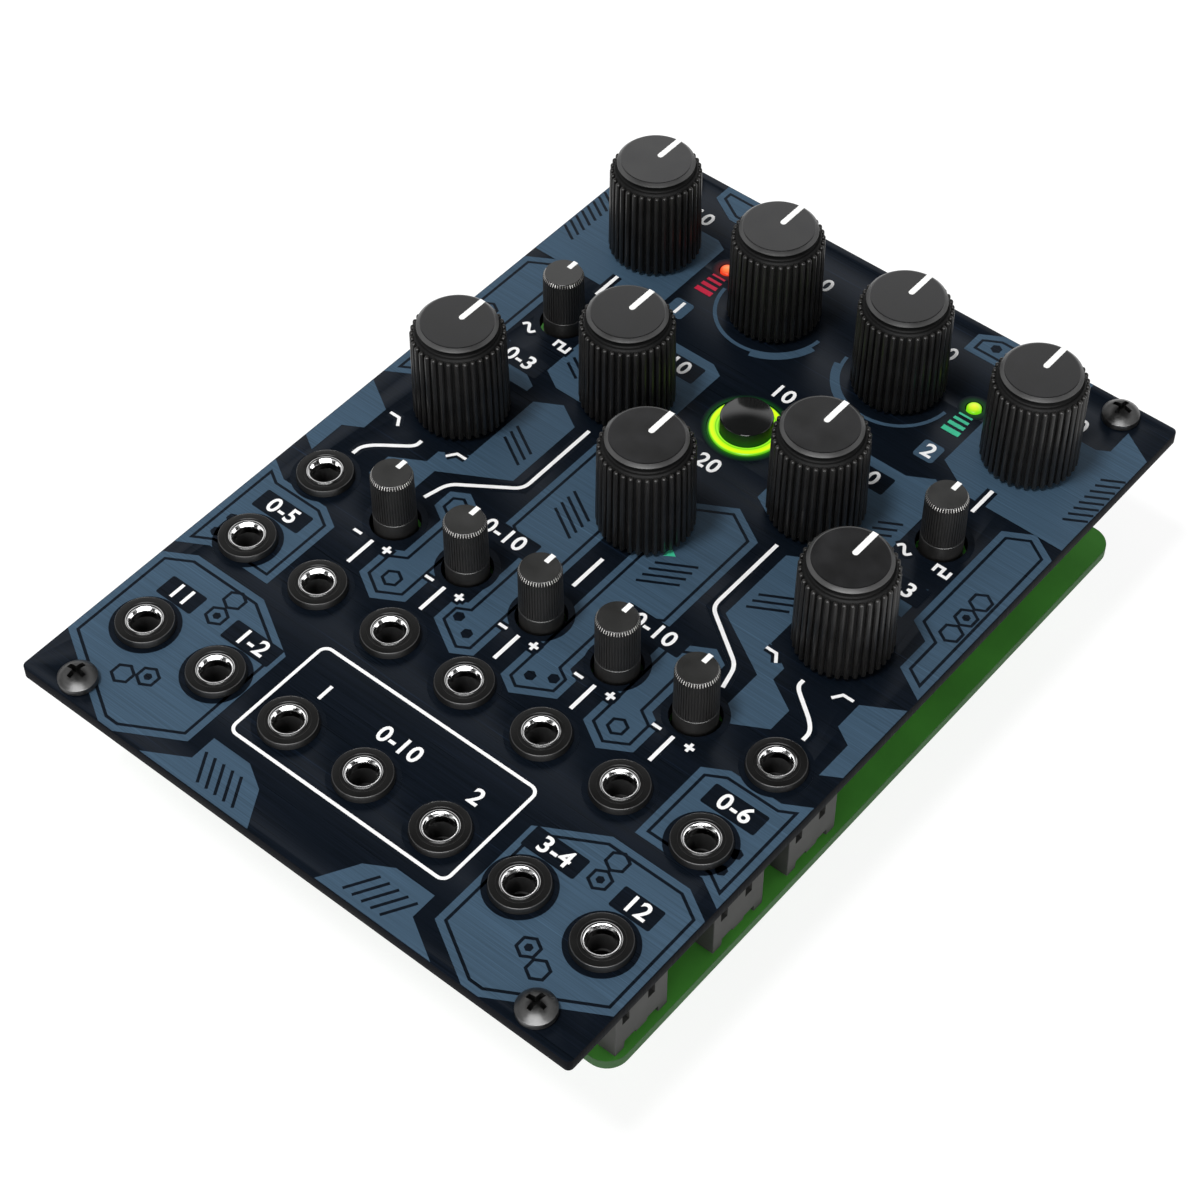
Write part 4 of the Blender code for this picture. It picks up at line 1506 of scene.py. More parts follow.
@dataclass
class Potentiometer:
    """The potentiometers of one size: a folded can on its base, a collar and three leads."""

    kind: str
    width: float
    length: float
    shift: float
    collar: float
    seat: float = -10.5
    top: float = -4.0
    collar_top: float = -0.5

    def can(self) -> Mesh:
        """The can with its folded tabs, and the collar that the shaft turns in.

        Returns:
            A mesh about the shaft's axis.
        """
        wide, inner, outer = self.width / 2, self.collar - 0.85, self.collar + 0.5
        middle, size = (0.0, self.shift), (self.width, self.length)
        form = Form().bar(middle, size, self.seat + 1.6, self.top, CAN_STEEL, 0.3)
        for side in (0.15 - wide, wide - 0.15):
            for row in (-2.6, 2.6):
                form.bar((side, row), (0.3, 1.8), self.seat, self.seat + 1.9, CAN_STEEL, 0.08)
        profile = coated(
            CAN_STEEL,
            (self.collar - 1.1, self.top - 0.4), (outer, self.top - 0.4), (outer, self.top + 0.25),
            (self.collar, self.top + 0.3), (self.collar, self.collar_top - 0.15),
            (self.collar - 0.15, self.collar_top), (inner, self.collar_top), (inner, self.top - 0.2),
        )  # fmt: skip
        return form.turn(profile, 40, ring=True).data("can")

    def base(self) -> Mesh:
        """The insulating base under the can."""
        middle, size = (0.0, self.shift), (self.width - 0.7, self.length - 0.4)
        return Form().bar(middle, size, self.seat + 0.25, self.seat + 1.7, PHENOLIC, 0.12).data("base")

    def leads(self) -> Mesh:
        """The three leads on the lower side.

        Returns:
            A mesh about the shaft's axis.
        """
        form = Form()
        row = self.shift - self.length / 2 + 0.2
        for column in (-2.5, 0.0, 2.5):
            form.bar((column, row), (0.8, 0.28), self.seat, self.seat + 1.2, TINNED, 0.06)
        return form.data("leads")

    def build(self, part: PackedPart) -> None:
        """Builds every potentiometer of this size as one fixed piece.

        Args:
            part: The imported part.
        """
        form, places = Form(), part.centres(f"{self.kind}_knob_")
        for shape, finish in ((self.can(), CAN_STEEL), (self.base(), PHENOLIC), (self.leads(), TINNED)):
            form.repeat(shape, finish, places)
        form.piece(f"{self.kind}_potentiometers", FIXED, "pot", part.named(f"{self.kind}_pot_"))


# ---------------------------------------------------------------- panel and board


@dataclass
class PanelPlate:
    """The front panel: one plate with every hole, broken edges and a dark print on its front."""

    jack_hole: float = 3.2
    shaft_hole: float = 3.5
    trim_hole: float = 3.45
    lamp_hole: float = 1.2
    ring_hole: float = 5.45
    slot_length: float = 4.6
    slot_height: float = 3.2
    corner: float = 0.8
    broken_edge: float = 0.1

    def holes(self) -> tuple[tuple[str, float], ...]:
        """The round holes: how the names of the nodes in them start, and their radius.

        Returns:
            A pair for each kind of hole.
        """
        return (
            ("jack_", self.jack_hole),
            ("large_knob_", self.shaft_hole),
            ("small_knob_", self.trim_hole),
            ("lamp_", self.lamp_hole),
            ("button_cap", self.ring_hole),
        )

    def outlines(self, part: PackedPart) -> list[list[Flat]]:
        """The plate's outline and its holes.

        Args:
            part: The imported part.

        Returns:
            Closed paths, the plate's own first.
        """
        low, high = part.span("front_panel")
        outlines = [rounded_box(low[:2], high[:2], self.corner)]
        for start, radius in self.holes():
            outlines += [disc(centre, radius, 64) for centre in part.centres(start)]
        wide, tall = self.slot_length / 2, self.slot_height / 2
        for x, y in part.centres("screw_"):
            outlines.append(rounded_box((x - wide, y - tall), (x + wide, y + tall), tall - 0.01, 12))
        return outlines

    def build(self, part: PackedPart) -> None:
        """Builds the plate.

        Args:
            part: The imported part.
        """
        curve = bpy.data.curves.new("panel_outline", "CURVE")
        curve.dimensions = "2D"
        curve.fill_mode = "BOTH"
        curve.extrude = FRONT / 2 - self.broken_edge
        curve.bevel_depth = self.broken_edge
        curve.bevel_resolution = 1
        curve.offset = -self.broken_edge
        for outline in self.outlines(part):
            spline = curve.splines.new("POLY")
            spline.points.add(len(outline) - 1)
            for point, (x, y) in zip(spline.points, outline):
                point.co = (x, y, 0.0, 1.0)
            spline.use_cyclic_u = True
        data = welded(taken(placed("panel_outline", curve)), 0.002, NAVY, ANODISED)
        for face in data.polygons:
            face.material_index = 0 if face.normal.z > 0.5 else 1
        form = Form().add(data, (0.0, 0.0, FRONT / 2))
        form.piece("printed_panel", FIXED, "panel", ["front_panel"])


@dataclass
class CircuitBoard:
    """The circuit board with the solder joints and the small parts on its back."""

    LEADS = {
        "jack_": ((0.0, -4.1), (-2.6, 4.1), (2.6, 4.1)),
        "large_knob_": ((-2.5, -6.5), (0.0, -6.5), (2.5, -6.5), (-4.7, 2.6), (4.7, 2.6)),
        "small_knob_": ((-2.5, -4.9), (0.0, -4.9), (2.5, -4.9)),
        "lamp_": ((-0.65, 0.0), (0.65, 0.0)),
        "switch_body": ((-5.6, -3.2), (-5.6, 3.2), (5.6, -3.2), (5.6, 3.2)),
    }
    corner: float = 3.2
    broken_edge: float = 0.06
    leg_pitch: float = 1.27
    small_pitch: float = 2.4

    def joint(self, back: float) -> Mesh:
        """One solder joint: a pad, a fillet and the lead's end.

        Args:
            back: The height of the board's back.

        Returns:
            A closed mesh about the lead's axis.
        """
        profile = coated(
            TINNED,
            (0.0, back - 1.0), (0.26, back - 1.0), (0.3, back - 0.62), (0.46, back - 0.36),
            (0.78, back - 0.12), (0.95, back - 0.05), (0.95, back + 0.02), (0.0, back + 0.02),
        )  # fmt: skip
        return Form().turn(profile, 14).data("joint")

    def joints(self, part: PackedPart) -> list[Flat]:
        """Where leads come through the board.

        Args:
            part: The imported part.

        Returns:
            The leads' places on the board.
        """
        spots = [
            (x + aside, y + along)
            for start, leads in self.LEADS.items()
            for x, y in part.centres(start)
            for aside, along in leads
        ]
        low, high = part.span("power_header")
        return [
            (x, y) for x, y in spots if not (low[0] - 1 < x < high[0] + 1 and low[1] - 1 < y < high[1] + 1)
        ]

    def build(self, part: PackedPart) -> None:
        """Builds the board and what is soldered to its back.

        Args:
            part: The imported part.
        """
        low, high = part.span("circuit_board")
        back, front, inset = low[2], high[2], self.broken_edge
        rows = []
        for height, gap in ((back, inset), (back + inset, 0.0), (front - inset, 0.0), (front, inset)):
            corners = (low[0] + gap, low[1] + gap), (high[0] - gap, high[1] - gap)
            rows.append([(x, y, height) for x, y in rounded_box(*corners, self.corner - gap, 10)])
        board = Form().loft(rows, BOARD_EDGE, MASK_GREEN)
        board.piece("printed_circuit_board", FIXED, "board", ["circuit_board"])
        Form().repeat(self.joint(back), TINNED, self.joints(part)).piece("solder_joints", FIXED, "board")
        self.parts(back)

    def parts(self, back: float) -> None:
        """Builds the tracks and the small parts on the board's back.

        Args:
            back: The height of the board's back.
        """
        middle = (0.0, 0.0)
        chips = [(x, y) for x in (-24.0, 24.0) for y in (58.0, 96.0)]
        chips += [(0.0, 24.0), (-21.5, 79.0), (21.5, 79.0)]
        body = Form().bar(middle, (6.2, 4.0), back - 1.6, back - 0.12, CHIP_PLASTIC, 0.12).data("chip")
        core = Form().bar(middle, (0.6, 0.8), back - 0.5, back - 0.02, CERAMIC, 0.05).data("core")
        legs, ends = Form(), Form()
        for side in (-1, 1):
            for column in range(4):
                x = (column - 1.5) * self.leg_pitch
                legs.bar((x, side * 2.45), (0.4, 1.1), back - 0.3, back - 0.02, TINNED)
            ends.bar((0.0, side * 0.59), (0.8, 0.42), back - 0.54, back - 0.01, TINNED, 0.05)
        small: list[Flat] = []
        tracks = Form()
        for x, y in chips:
            small += [(x - 4.8 + self.small_pitch * step, y - 6.2) for step in range(4)]
            for step in range(5):
                start, shift = x - 6.0 + self.small_pitch * step, (step - 2) * 1.1
                small.append((start, y + 6.2))
                lane, bend = start + shift, y + 8.2
                path = [(start, y + 7.0), (start, bend), (lane, bend + abs(shift)), (lane, y + 13.5)]
                tracks.strip(path, 0.3, back - 0.035, back + 0.01, TRACK_GREEN)
        form = Form().repeat(body, CHIP_PLASTIC, chips).repeat(legs.data("legs"), TINNED, chips)
        form.repeat(core, CERAMIC, small).repeat(ends.data("ends"), TINNED, small)
        form.piece("surface_parts", FIXED, "board")
        tracks.piece("board_tracks", FIXED, "board")


@dataclass
class PowerHeader:
    """The keyed power header on the board's back."""

    pitch: float = 2.54
    columns: int = 5
    rows: int = 2
    wall: float = 1.2
    floor: float = 2.6
    pin: float = 0.64
    stand: float = 5.6
    key: float = 4.4

    def build(self, part: PackedPart) -> None:
        """Builds the shroud and its pins.

        Args:
            part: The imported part.
        """
        low, high = part.span("power_header")
        x, y = part.centre("power_header")
        wall, key, foot, roof = self.wall, self.key / 2, low[2] - 1.0, high[2] - self.floor
        shell = Form().block(low, high, HEADER_PLASTIC, 0.15).data("shroud")
        tool = Form()
        tool.block((low[0] + wall, low[1] + wall, foot), (high[0] - wall, high[1] - wall, roof), HEADER_PLASTIC)
        tool.block((x - key, low[1] - 1.0, foot), (x + key, low[1] + wall + 0.5, roof), HEADER_PLASTIC)
        form = Form().add(carved(shell, tool.data("cavity"), overlaps=True))
        pin = Form().bar((0.0, 0.0), (self.pin, self.pin), roof - self.stand, roof + 1.3, PIN_PLATE, 0.12)
        places = [
            (x + (column - (self.columns - 1) / 2) * self.pitch, y + (row - (self.rows - 1) / 2) * self.pitch)
            for column in range(self.columns)
            for row in range(self.rows)
        ]
        form.repeat(pin.data("pin"), PIN_PLATE, places)
        form.piece("keyed_header", FIXED, "header", ["power_header"])


# ---------------------------------------------------------------- print


@dataclass(frozen=True)
class Mark:
    """A number on the panel: what it says, where it stands, and whether it has a dark plate."""

    text: str
    place: Flat
    plate: bool = True


@dataclass
class PanelPrint:
    """The panel's print: slate plates on the navy ground, white lines and numbers, and small coloured marks."""

    edge: float = 45.42
    foot: float = -0.27
    head: float = 127.97
    slate_top: float = 0.018
    dark_top: float = 0.026
    ink_top: float = 0.036
    line: float = 0.56
    line_margin: float = 1.1
    sign_line: float = 0.45
    sign_margin: float = 0.9
    frame_line: float = 0.46
    fine: float = 0.42
    inset: float = 1.15
    hole_gap: float = 0.06
    jack_ring: float = 4.75
    knob_ring: float = 4.4
    button_ring: float = 6.3
    lamp_ring: float = 2.3
    cap_height: float = 2.45
    columns: tuple[float, ...] = (-25.4, -12.7, 0.0, 12.7, 25.4)
    column_row: float = 43.5

    def plates(self) -> list[list[Flat]]:
        """The slate plates on the panel's right half. The left half mirrors them.

        Returns:
            Closed paths.
        """
        edge, foot, head = self.edge, self.foot, self.head
        return [
            [
                (20.6, 4.55), (29.0, foot), (31.6, foot), (edge, 7.7), (edge, 24.6), (41.2, 27.1), (29.3, 27.1),
                (20.6, 22.1),
            ],
            [(30.9, 29.3), (41.3, 29.3), (edge, 26.9), (edge, 46.0), (42.0, 44.0), (34.2, 44.0), (30.9, 42.1)],
            [
                (2.3, 37.4), (5.0, 35.8), (10.4, 38.9), (10.4, 42.6), (8.6, 43.6), (8.6, 53.6), (13.9, 56.7),
                (13.9, 75.6), (8.4, 78.8), (2.3, 75.3),
            ],
            [
                (15.0, 38.5), (19.05, 36.1), (23.1, 38.5), (23.1, 43.6), (20.9, 44.9), (20.9, 52.0), (23.3, 53.4),
                (23.3, 56.6), (20.9, 58.0), (15.0, 54.6),
            ],
            [(edge, 67.6), (edge, 97.6), (41.4, 100.0), (37.4, 97.7), (37.4, 77.9), (40.6, 76.0), (40.6, 70.5)],
            [(14.0, 122.4), (27.5, 122.4), (31.9, 124.9), (31.9, head), (17.2, head), (14.0, 126.1)],
            [(5.6, foot), (8.6, 4.9), (12.2, 7.0), (18.4, 7.0), (18.4, 3.1), (24.2, foot)],
            [
                (18.1, 63.4), (27.4, 58.0), (27.4, 51.0), (29.6, 49.7), (34.0, 52.2), (34.0, 56.0), (29.4, 58.7),
                (29.4, 61.0), (25.6, 63.2), (25.6, 76.3), (21.9, 78.4), (18.1, 76.2),
            ],
            [(42.9, 50.4), (edge, 51.9), (edge, 65.4), (40.2, 62.3), (40.2, 57.9), (42.9, 56.3)],
            [
                (8.9, 82.0), (11.9, 80.3), (24.9, 80.3), (28.0, 82.1), (28.0, 98.2), (25.4, 99.7), (21.9, 97.7),
                (10.9, 97.7), (8.9, 96.5),
            ],
            [
                (24.2, 103.4), (30.2, 99.9), (edge, 99.9), (edge, 120.4), (40.6, 123.3), (40.6, 118.9),
                (38.9, 117.9), (26.0, 117.9), (24.2, 116.9),
            ],
            [(27.6, 78.5), (27.6, 77.3), (35.9, 77.3), (35.9, 83.3)],
        ]  # fmt: skip

    def framed(self) -> list[list[Flat]]:
        """The dark lines that follow the edges of the first plates, a little inside them."""
        return [inside(path, self.inset) for path in self.plates()[:6]]

    def bars(self) -> list[list[Flat]]:
        """The short dark bars that hatch the other plates.

        Returns:
            Paths of two points.
        """
        groups: tuple[tuple[Flat, Flat, Flat, int], ...] = (
            ((9.2, 0.8), (2.4, 4.1), (1.5, 0.0), 5),
            ((5.6, 60.4), (5.0, 2.9), (0.0, 1.3), 4),
            ((19.4, 66.0), (4.9, 2.8), (0.0, 1.3), 3),
            ((42.4, 104.6), (2.9, 1.7), (0.0, 1.3), 8),
            ((23.9, 83.4), (2.9, 1.7), (0.0, 1.3), 5),
        )
        bars = []
        for start, along, step, number in groups:
            for count in range(number):
                x, y = start[0] + step[0] * count, start[1] + step[1] * count
                bars.append([(x, y), (x + along[0], y + along[1])])
        return bars

    def hexagons(self) -> tuple[list[tuple[Flat, float]], list[tuple[Flat, float]]]:
        """The outlined and the filled hexagons, each by its middle and its radius.

        Returns:
            The outlined ones and the filled ones.
        """
        small = [(31.75, 8.6), (32.1, 21.3), (42.4, 82.5)]
        open_ones = [*small, (34.6, 6.95), (32.1, 24.6), (42.4, 79.2), (42.4, 85.8)]
        filled = [(5.35, 39.6), (8.0, 41.1), (42.4, 31.6), (42.4, 34.6), (17.6, 125.2), (20.6, 125.2), (23.6, 125.2)]
        return (
            [*((place, 1.5) for place in open_ones), ((19.05, 40.4), 1.3)],
            [*((place, 0.85) for place in filled), *((place, 0.6) for place in small)],
        )

    def routes(self) -> list[list[Flat]]:
        """The white lines from the knobs to the sockets and the knobs below them, on the right half.

        Returns:
            Open paths.
        """
        return [
            [(32.45, 98.0), (32.45, 102.8)],
            [(16.1, 76.9), (16.1, 63.2), (24.4, 57.4), (25.3, 53.6)],
            [(32.45, 61.0), (32.45, 59.7), (37.0, 56.3), (38.1, 54.9), (38.1, 53.4)],
            [(12.7, 43.6), (12.7, 38.8)],
            [(25.4, 43.6), (25.4, 38.8)],
        ]

    def marks(self) -> list[Mark]:
        """The plain numbers.

        Returns:
            The numbers, with their places.
        """
        marks = [Mark("1", (-12.7, 20.9), False), Mark("0-10", (0.0, 20.9), False), Mark("2", (12.7, 20.9), False)]
        marks += [Mark("10", (0.0, 99.2), False), Mark("20", (0.0, 82.5), False)]
        for side, shift in ((-1, 0), (1, 1)):
            marks += [
                Mark(str(11 + shift), (side * 38.1, 20.9)),
                Mark(f"{1 + 2 * shift}-{2 + 2 * shift}", (side * 25.4, 20.9)),
                Mark(f"0-{5 + shift}", (side * 38.1, 39.7)),
                Mark("0-10", (side * 12.7, 55.3)),
                Mark("0-3", (side * 32.45, 81.4)),
                Mark("0-10", (side * 16.2, 94.4)),
                Mark("0-10", (side * 32.45, 120.2), False),
                Mark("0-10", (side * 10.8, 120.2), False),
            ]
        return marks

    def ranges(self) -> list[tuple[list[Flat], float]]:
        """The slate arcs round the two inner top knobs, each by its path and its width.

        Returns:
            Open paths with their widths.
        """
        arcs = []
        for side, start, end in ((-1, 285.0, 345.0), (1, 195.0, 255.0)):
            centre = (side * 10.8, 111.25)
            for radius, width, first, last in (
                (8.35, 0.55, 184.0, start - 0.15),
                (8.75, 1.35, start, end),
                (8.35, 0.55, end + 0.15, 356.0),
            ):
                arcs.append((arc(centre, radius, first, last, 24), width))
        return arcs

    def signs(self) -> list[list[Flat]]:
        """The small white signs: minus signs, filter curves and waves.

        Returns:
            Open paths.
        """
        row = self.column_row
        signs = [[(column - 3.3, row), (column - 1.9, row)] for column in self.columns]
        for x in (-32.45, 32.45):
            signs.append([(x - 6.9, 62.3), (x - 5.3, 62.3), (x - 4.4, 61.0)])
            signs.append([(x + 4.4, 61.0), (x + 5.3, 62.3), (x + 6.9, 62.3)])
            signs.append([(x - 4.2 + 0.13 * step, 86.9 + 0.62 * math.sin(step * math.tau / 18)) for step in range(19)])
            heights = (86.3, 87.5, 87.5, 86.3, 86.3, 87.5)
            signs.append([(x + 1.9 + 1.1 * (step // 2), height) for step, height in enumerate(heights)])
        return signs

    def pluses(self, arm: float, half: float) -> list[list[Flat]]:
        """The outlines of the plus signs, with arms this long and half this wide.

        Args:
            arm: How far an arm reaches from the middle.
            half: Half of an arm's width.

        Returns:
            Closed paths.
        """
        quarter = [(half, half), (half, arm), (-half, arm)]
        outline: list[Flat] = []
        for _ in range(4):
            outline += quarter
            quarter = [(-y, x) for x, y in quarter]
        return [[(column + 2.6 + x, self.column_row + y) for x, y in outline] for column in self.columns]

    def ladder(self, centre: Flat) -> list[tuple[list[Flat], float]]:
        """The four bars under a lamp, which grow away from it.

        Args:
            centre: The lamp's axis.

        Returns:
            Open paths with their widths.
        """
        x, y = centre
        rungs = ((2.0, 1.1, 0.34), (3.05, 1.2, 0.5), (4.2, 1.3, 0.66), (5.5, 1.4, 0.86))
        return [([(x - half, y - drop), (x + half, y - drop)], wide) for drop, half, wide in rungs]

    def number(self, mark: Mark) -> Mesh:
        """One number as a raised mesh in white ink.

        Args:
            mark: The number.

        Returns:
            A closed mesh in millimetres, in its place on the panel.
        """
        curve = bpy.data.curves.new("number", "FONT")
        curve.body = mark.text
        curve.align_x = "CENTER"
        curve.align_y = "CENTER"
        curve.size = self.cap_height / 0.7
        curve.offset = 0.075
        curve.space_character = 1.08
        curve.extrude = (self.ink_top + 0.004) / 2
        curve.resolution_u = 4
        data = welded(taken(placed("number", curve)), 0.0005, WHITE_INK)
        data.transform(Matrix.Translation((*mark.place, FRONT + (self.ink_top - 0.004) / 2)))
        return data

    def holes(self, part: PackedPart) -> Mesh:
        """Rods where the print leaves room for the panel's holes.

        Args:
            part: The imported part.

        Returns:
            One mesh with every rod.
        """
        form, plate = Form(), PanelPlate()
        for start, radius in (*plate.holes(), ("screw_", plate.slot_length / 2)):
            for centre in part.centres(start):
                form.prism(disc(centre, radius + self.hole_gap, 48), FRONT - 0.5, FRONT + 0.5, NAVY)
        return form.data("holes")

    def slate(self, part: PackedPart) -> None:
        """The slate plates, with the dark lines, rings and hexagons on them.

        Args:
            part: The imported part.
        """
        ground = (FRONT - 0.01, FRONT + self.slate_top, SLATE)
        field = Form()
        for path in self.plates():
            field.prism(path, *ground).prism(mirrored(path), *ground)
        for path, width in self.ranges():
            field.strip(path, width, *ground)
        form = Form().add(carved(field.data("plates"), self.holes(part)))
        low, high = FRONT, FRONT + self.dark_top
        dark, layer = Form(), (low, high, NAVY)
        outlined, filled = self.hexagons()
        for turned in (list, mirrored):
            for path in self.framed():
                dark.strip(turned(path), self.fine, *layer, closed=True)
            for path in self.bars():
                dark.strip(turned(path), self.fine, *layer)
            for path in self.routes():
                dark.strip(turned(path), self.line + self.line_margin, low, high + 0.002, NAVY)
            for centre, radius in outlined:
                dark.strip(turned(hexagon(centre, radius)), self.fine, *layer, closed=True)
            for centre, radius in filled:
                dark.prism(turned(hexagon(centre, radius)), *layer)
        for path in self.signs():
            dark.strip(path, self.sign_line + self.sign_margin, low, high + 0.003, NAVY)
        for outline in self.pluses(1.15, 0.68):
            dark.prism(outline, low, high + 0.003, NAVY)
        for mark in self.marks():
            if mark.plate:
                wide, tall = 1.0 + 1.05 * len(mark.text), self.cap_height / 2 + 0.5
                x, y = mark.place
                dark.prism(rounded_box((x - wide, y - tall), (x + wide, y + tall), 0.3, 3), low, high + 0.004, NAVY)
        form.add(carved(dark.data("dark"), self.holes(part), overlaps=True))
        for start, hole, outer in (
            ("jack_", PanelPlate.jack_hole, self.jack_ring),
            ("small_knob_", PanelPlate.trim_hole, self.knob_ring),
            ("button_cap", PanelPlate.ring_hole, self.button_ring),
            ("lamp_red", PanelPlate.lamp_hole, self.lamp_ring),
            ("lamp_green", PanelPlate.lamp_hole, self.lamp_ring),
        ):
            inner = hole + self.hole_gap
            for centre in part.centres(start):
                finish = self.ground(start, centre, hole, outer)
                ring = coated(finish, (inner, low), (outer, low), (outer, high), (inner, high))
                form.turn(ring, 56, centre, ring=True)
        form.piece("print_slate_plates", FIXED, "panel")

    def ground(self, start: str, centre: Flat, inner: float, outer: float) -> Finish:
        """The finish of the dark ring round a hole; round a lit node the ring carries a painted glow of its lamp's
        light.

        Args:
            start: How the name of the node in the hole starts.
            centre: The hole's axis.
            inner: The hole's radius.
            outer: The ring's outer radius.

        Returns:
            The panel's own finish where the node isn't lit, or one with the painted glow.
        """
        # Painted glow: the emitted colour round the button and the two lamps stands in for their light falling on the
        # panel.
        painted_spill_hue = {"button_cap": (10, 64, 8), "lamp_red": (70, 10, 4), "lamp_green": (14, 60, 6)}.get(start)
        if painted_spill_hue is None:
            return NAVY
        name, gloss = f"panel_lit_by_{start}", (NAVY.roughness, NAVY.metallic, NAVY.specular)
        return GlowPaintedPrint(name, NAVY.hue, *gloss, centre=centre, start=inner, reach=outer, painted_spill_hue=painted_spill_hue)

    def white(self) -> None:
        """The white lines, signs and numbers."""
        ink = (FRONT, FRONT + self.ink_top, WHITE_INK)
        form = Form().strip(rounded_box((-17.95, 9.2), (17.95, 26.6), 1.2), self.frame_line, *ink, closed=True)
        for path in self.routes():
            smooth = eased(path, 1.3)
            form.strip(smooth, self.line, *ink).strip(mirrored(smooth), self.line, *ink)
        for path in ([(0.0, 60.4), (0.0, 54.4)], [(0.0, 43.6), (0.0, 38.8)]):
            form.strip(path, self.line, *ink)
        for path in self.signs():
            form.strip(path, self.sign_line, *ink)
        for outline in self.pluses(0.72, 0.225):
            form.prism(outline, *ink)
        for mark in self.marks():
            form.add(self.number(mark))
        form.piece("print_white_lines", FIXED, "panel")

    def coloured(self, part: PackedPart) -> None:
        """The bars under the lamps, their numbered tags, and the small arrows.

        Args:
            part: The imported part.
        """
        low, high = FRONT, FRONT + self.ink_top
        form = Form()
        for node, ink in (("lamp_red", CRIMSON_INK), ("lamp_green", TEAL_INK)):
            for path, width in self.ladder(part.centre(node)):
                form.strip(path, width, low, high, ink)
        for x, text in ((-21.65, "1"), (21.65, "2")):
            tag = rounded_box((x - 1.6, 101.55), (x + 1.6, 105.05), 0.5)
            form.prism(tag, low, FRONT + self.slate_top, SLATE).add(self.number(Mark(text, (x, 103.3))))
        for x, ink in ((-5.2, CRIMSON_INK), (4.6, CRIMSON_INK), (6.3, TEAL_INK)):
            form.prism([(x - 0.6, 65.9), (x + 0.8, 66.8), (x - 0.6, 67.7)], low, high, ink)
        form.piece("print_coloured_marks", FIXED, "panel")

    def build(self, part: PackedPart) -> None:
        """Builds the print.

        Args:
            part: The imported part.
        """
        self.slate(part)
        self.white()
        self.coloured(part)


# ---------------------------------------------------------------- studio


class Reach(Enum):
    """What a lamp gives: even light, or highlights."""

    EVEN = (True, False)
    SHINE = (False, True)


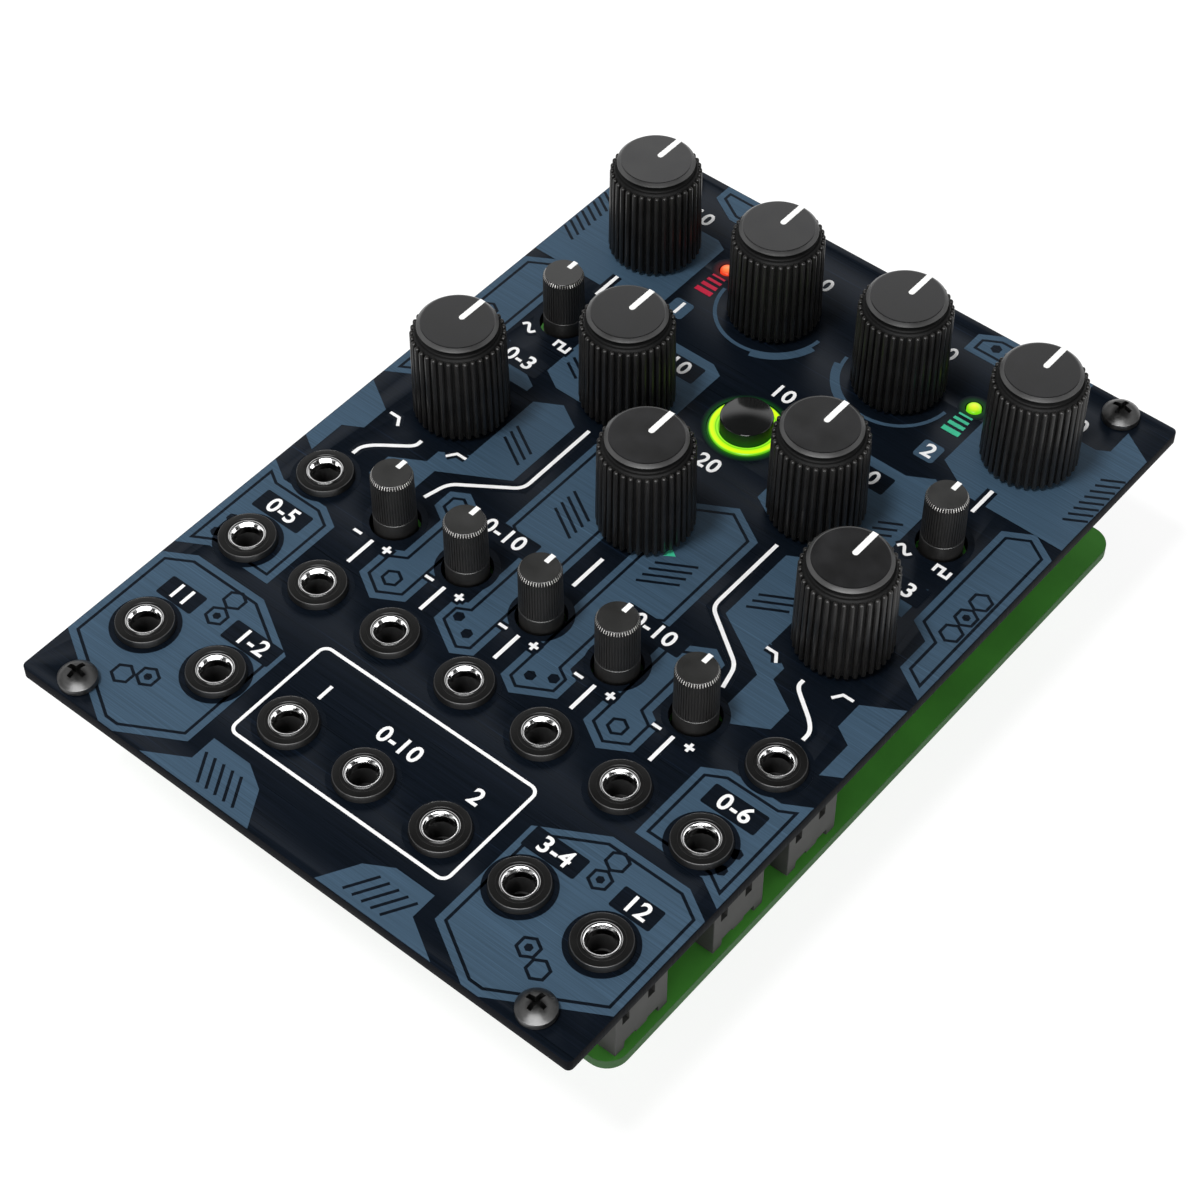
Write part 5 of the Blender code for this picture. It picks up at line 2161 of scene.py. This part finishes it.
@dataclass
class Studio:
    """A pale floor, soft lights, a white surrounding and the camera."""

    floor: float = -21.75
    floor_reach: float = 4000.0
    lens: float = 85.04
    sensor: float = 36.0
    eye: Point = (155.3655, -125.716, 282.837)
    right: Point = (0.76880656, 0.63947534, -0.00278714)
    down: Point = (0.48865853, -0.59028788, -0.64247417)
    forward: Point = (-0.4124916, 0.49257639, -0.76630228)
    floor_shade: float = 0.22
    floor_glow: float = 0.865
    sun_power: float = 2.05
    sun_width: float = 12.0
    sun_way: Point = (0.14, 0.29, -0.95)

    def camera(self) -> None:
        """Sets the camera at the photograph's view."""
        data = bpy.data.cameras.new("camera")
        data.lens = self.lens
        data.sensor_width = self.sensor
        data.clip_start = 0.01
        data.clip_end = 20.0
        made = placed("camera", data)
        columns = (Vector(self.right), -Vector(self.down), -Vector(self.forward))
        turn = Matrix([list(row) for row in zip(*columns)]).to_4x4()
        made.matrix_world = Matrix.Translation(Vector(self.eye) * MM) @ turn
        bpy.context.scene.camera = made

    def ground(self) -> None:
        """Lays the floor, which shows white and keeps a faint shadow."""
        data = bpy.data.meshes.new("floor")
        reach, height = self.floor_reach * MM, self.floor * MM
        corners = [(-reach, -reach, height), (reach, -reach, height), (reach, reach, height), (-reach, reach, height)]
        data.from_pydata(corners, [], [(0, 1, 2, 3)])
        finish = bpy.data.materials.new("pale_floor")
        sheet = Sheet(finish)
        plain, shown = sheet.node("ShaderNodeBsdfDiffuse"), sheet.node("ShaderNodeBsdfDiffuse")
        plain.inputs["Color"].default_value = (0.8, 0.8, 0.8, 1.0)
        shown.inputs["Color"].default_value = (*[self.floor_shade] * 3, 1.0)
        white = sheet.node("ShaderNodeEmission")
        white.inputs["Strength"].default_value = self.floor_glow
        both, mix = sheet.node("ShaderNodeAddShader"), sheet.node("ShaderNodeMixShader")
        sheet.link(shown.outputs["BSDF"], both.inputs[0])
        sheet.link(white.outputs["Emission"], both.inputs[1])
        rays = sheet.node("ShaderNodeLightPath").outputs
        straight = sheet.work_out("MAXIMUM", rays["Is Camera Ray"], rays["Is Glossy Ray"])
        sheet.link(sheet.work_out("MAXIMUM", straight, rays["Is Transmission Ray"]), mix.inputs["Fac"])
        sheet.link(plain.outputs["BSDF"], mix.inputs[1])
        sheet.link(both.outputs["Shader"], mix.inputs[2])
        sheet.link(mix.outputs["Shader"], sheet.tree.nodes["Material Output"].inputs["Surface"])
        sheet.tree.nodes.remove(sheet.surface)
        data.materials.append(finish)
        placed("floor", data)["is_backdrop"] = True

    def surround(self) -> None:
        """Makes the world white to the eye, and for light brightest in a band above the horizon."""
        world = bpy.data.worlds.new("studio")
        sheet = Sheet(world)
        split = sheet.node("ShaderNodeSeparateXYZ")
        sheet.link(sheet.node("ShaderNodeTexCoord").outputs["Generated"], split.inputs["Vector"])
        bands = [
            sheet.spread(split.outputs["Z"], first, last, start, end, interpolation_type="SMOOTHSTEP")
            for start, end, first, last in ((0.14, 0.44, 0.35, 1.0), (0.63, 0.765, 1.0, 0.03))
        ]
        rays = sheet.node("ShaderNodeLightPath").outputs
        clear = sheet.work_out("MAXIMUM", rays["Is Camera Ray"], rays["Is Transmission Ray"])
        back = sheet.tree.nodes["Background"]
        back.inputs["Color"].default_value = (1.0, 1.0, 1.0, 1.0)
        best = sheet.work_out("MAXIMUM", clear, sheet.work_out("MULTIPLY", *bands))
        sheet.link(best, back.inputs["Strength"])
        bpy.context.scene.world = world

    def lamp(self, name: str, place: Point, target: Point, size: Flat, power: float, reach: Reach) -> None:
        """Hangs a soft light.

        Args:
            name: Its name.
            place: Where it hangs, in millimetres.
            target: What it points at.
            size: Its width and its height, in millimetres.
            power: Its power in watts.
            reach: What it gives.
        """
        data = bpy.data.lights.new(name, "AREA")
        data.shape = "RECTANGLE"
        data.energy = power
        data.size, data.size_y = size[0] * MM, size[1] * MM
        made = placed(name, data)
        made.visible_diffuse, made.visible_glossy = reach.value
        made.location = Vector(place) * MM
        made.rotation_euler = (Vector(target) - Vector(place)).to_track_quat("-Z", "Y").to_euler()

    def high_light(self) -> None:
        """Hangs the main light high up, a little to the front. It is far away, so it falls evenly."""
        data = bpy.data.lights.new("high_light", "SUN")
        data.energy = self.sun_power
        data.angle = math.radians(self.sun_width)
        made = placed("high_light", data)
        made.visible_glossy = False
        made.rotation_euler = Vector(self.sun_way).to_track_quat("-Z", "Y").to_euler()

    def build(self) -> None:
        """Builds the whole studio."""
        self.camera()
        self.ground()
        self.surround()
        self.high_light()
        self.lamp("front_strip", (328.0, -330.0, 118.0), (0.0, 60.0, 8.0), (1000.0, 160.0), 5.0, Reach.SHINE)
        self.lamp("front_light", (210.0, -300.0, 330.0), (0.0, 40.0, 0.0), (520.0, 200.0), 2.1, Reach.SHINE)
        self.lamp("left_light", (-420.0, 60.0, 420.0), (0.0, 60.0, 0.0), (450.0, 450.0), 0.6, Reach.EVEN)
        bpy.context.scene.view_settings.view_transform = "Standard"


# ---------------------------------------------------------------- the whole


def main() -> None:
    """Builds the studio and every piece, in order."""
    logging.basicConfig(level=logging.INFO, format="%(name)s %(message)s")
    part = PackedPart()
    Studio().build()
    PanelPlate().build(part)
    PanelPrint().build(part)
    CircuitBoard().build(part)
    PowerHeader().build(part)
    JackSocket().build(part)
    Potentiometer("large", 9.7, 11.4, -1.0, 3.5).build(part)
    Potentiometer("small", 9.5, 10.2, 0.0, 2.9).build(part)
    for knob, start in ((RibbedKnob(), "large_knob_"), (KnurledKnob(), "small_knob_")):
        for node in part.named(start):
            knob.build(part, node)
    PushButton().build(part)
    red = ((0.0, (255, 160, 92)), (1.0, (236, 60, 30)), (0.6, (255, 122, 70)))
    green = ((0.0, (244, 246, 60)), (1.0, (120, 222, 24)), (0.6, (205, 243, 44)))
    IndicatorLamp("lamp_red", "lens_red", red).build(part)
    IndicatorLamp("lamp_green", "lens_green", green).build(part)
    PanHeadScrew().build(part)


if __name__ == "__main__":
    main()
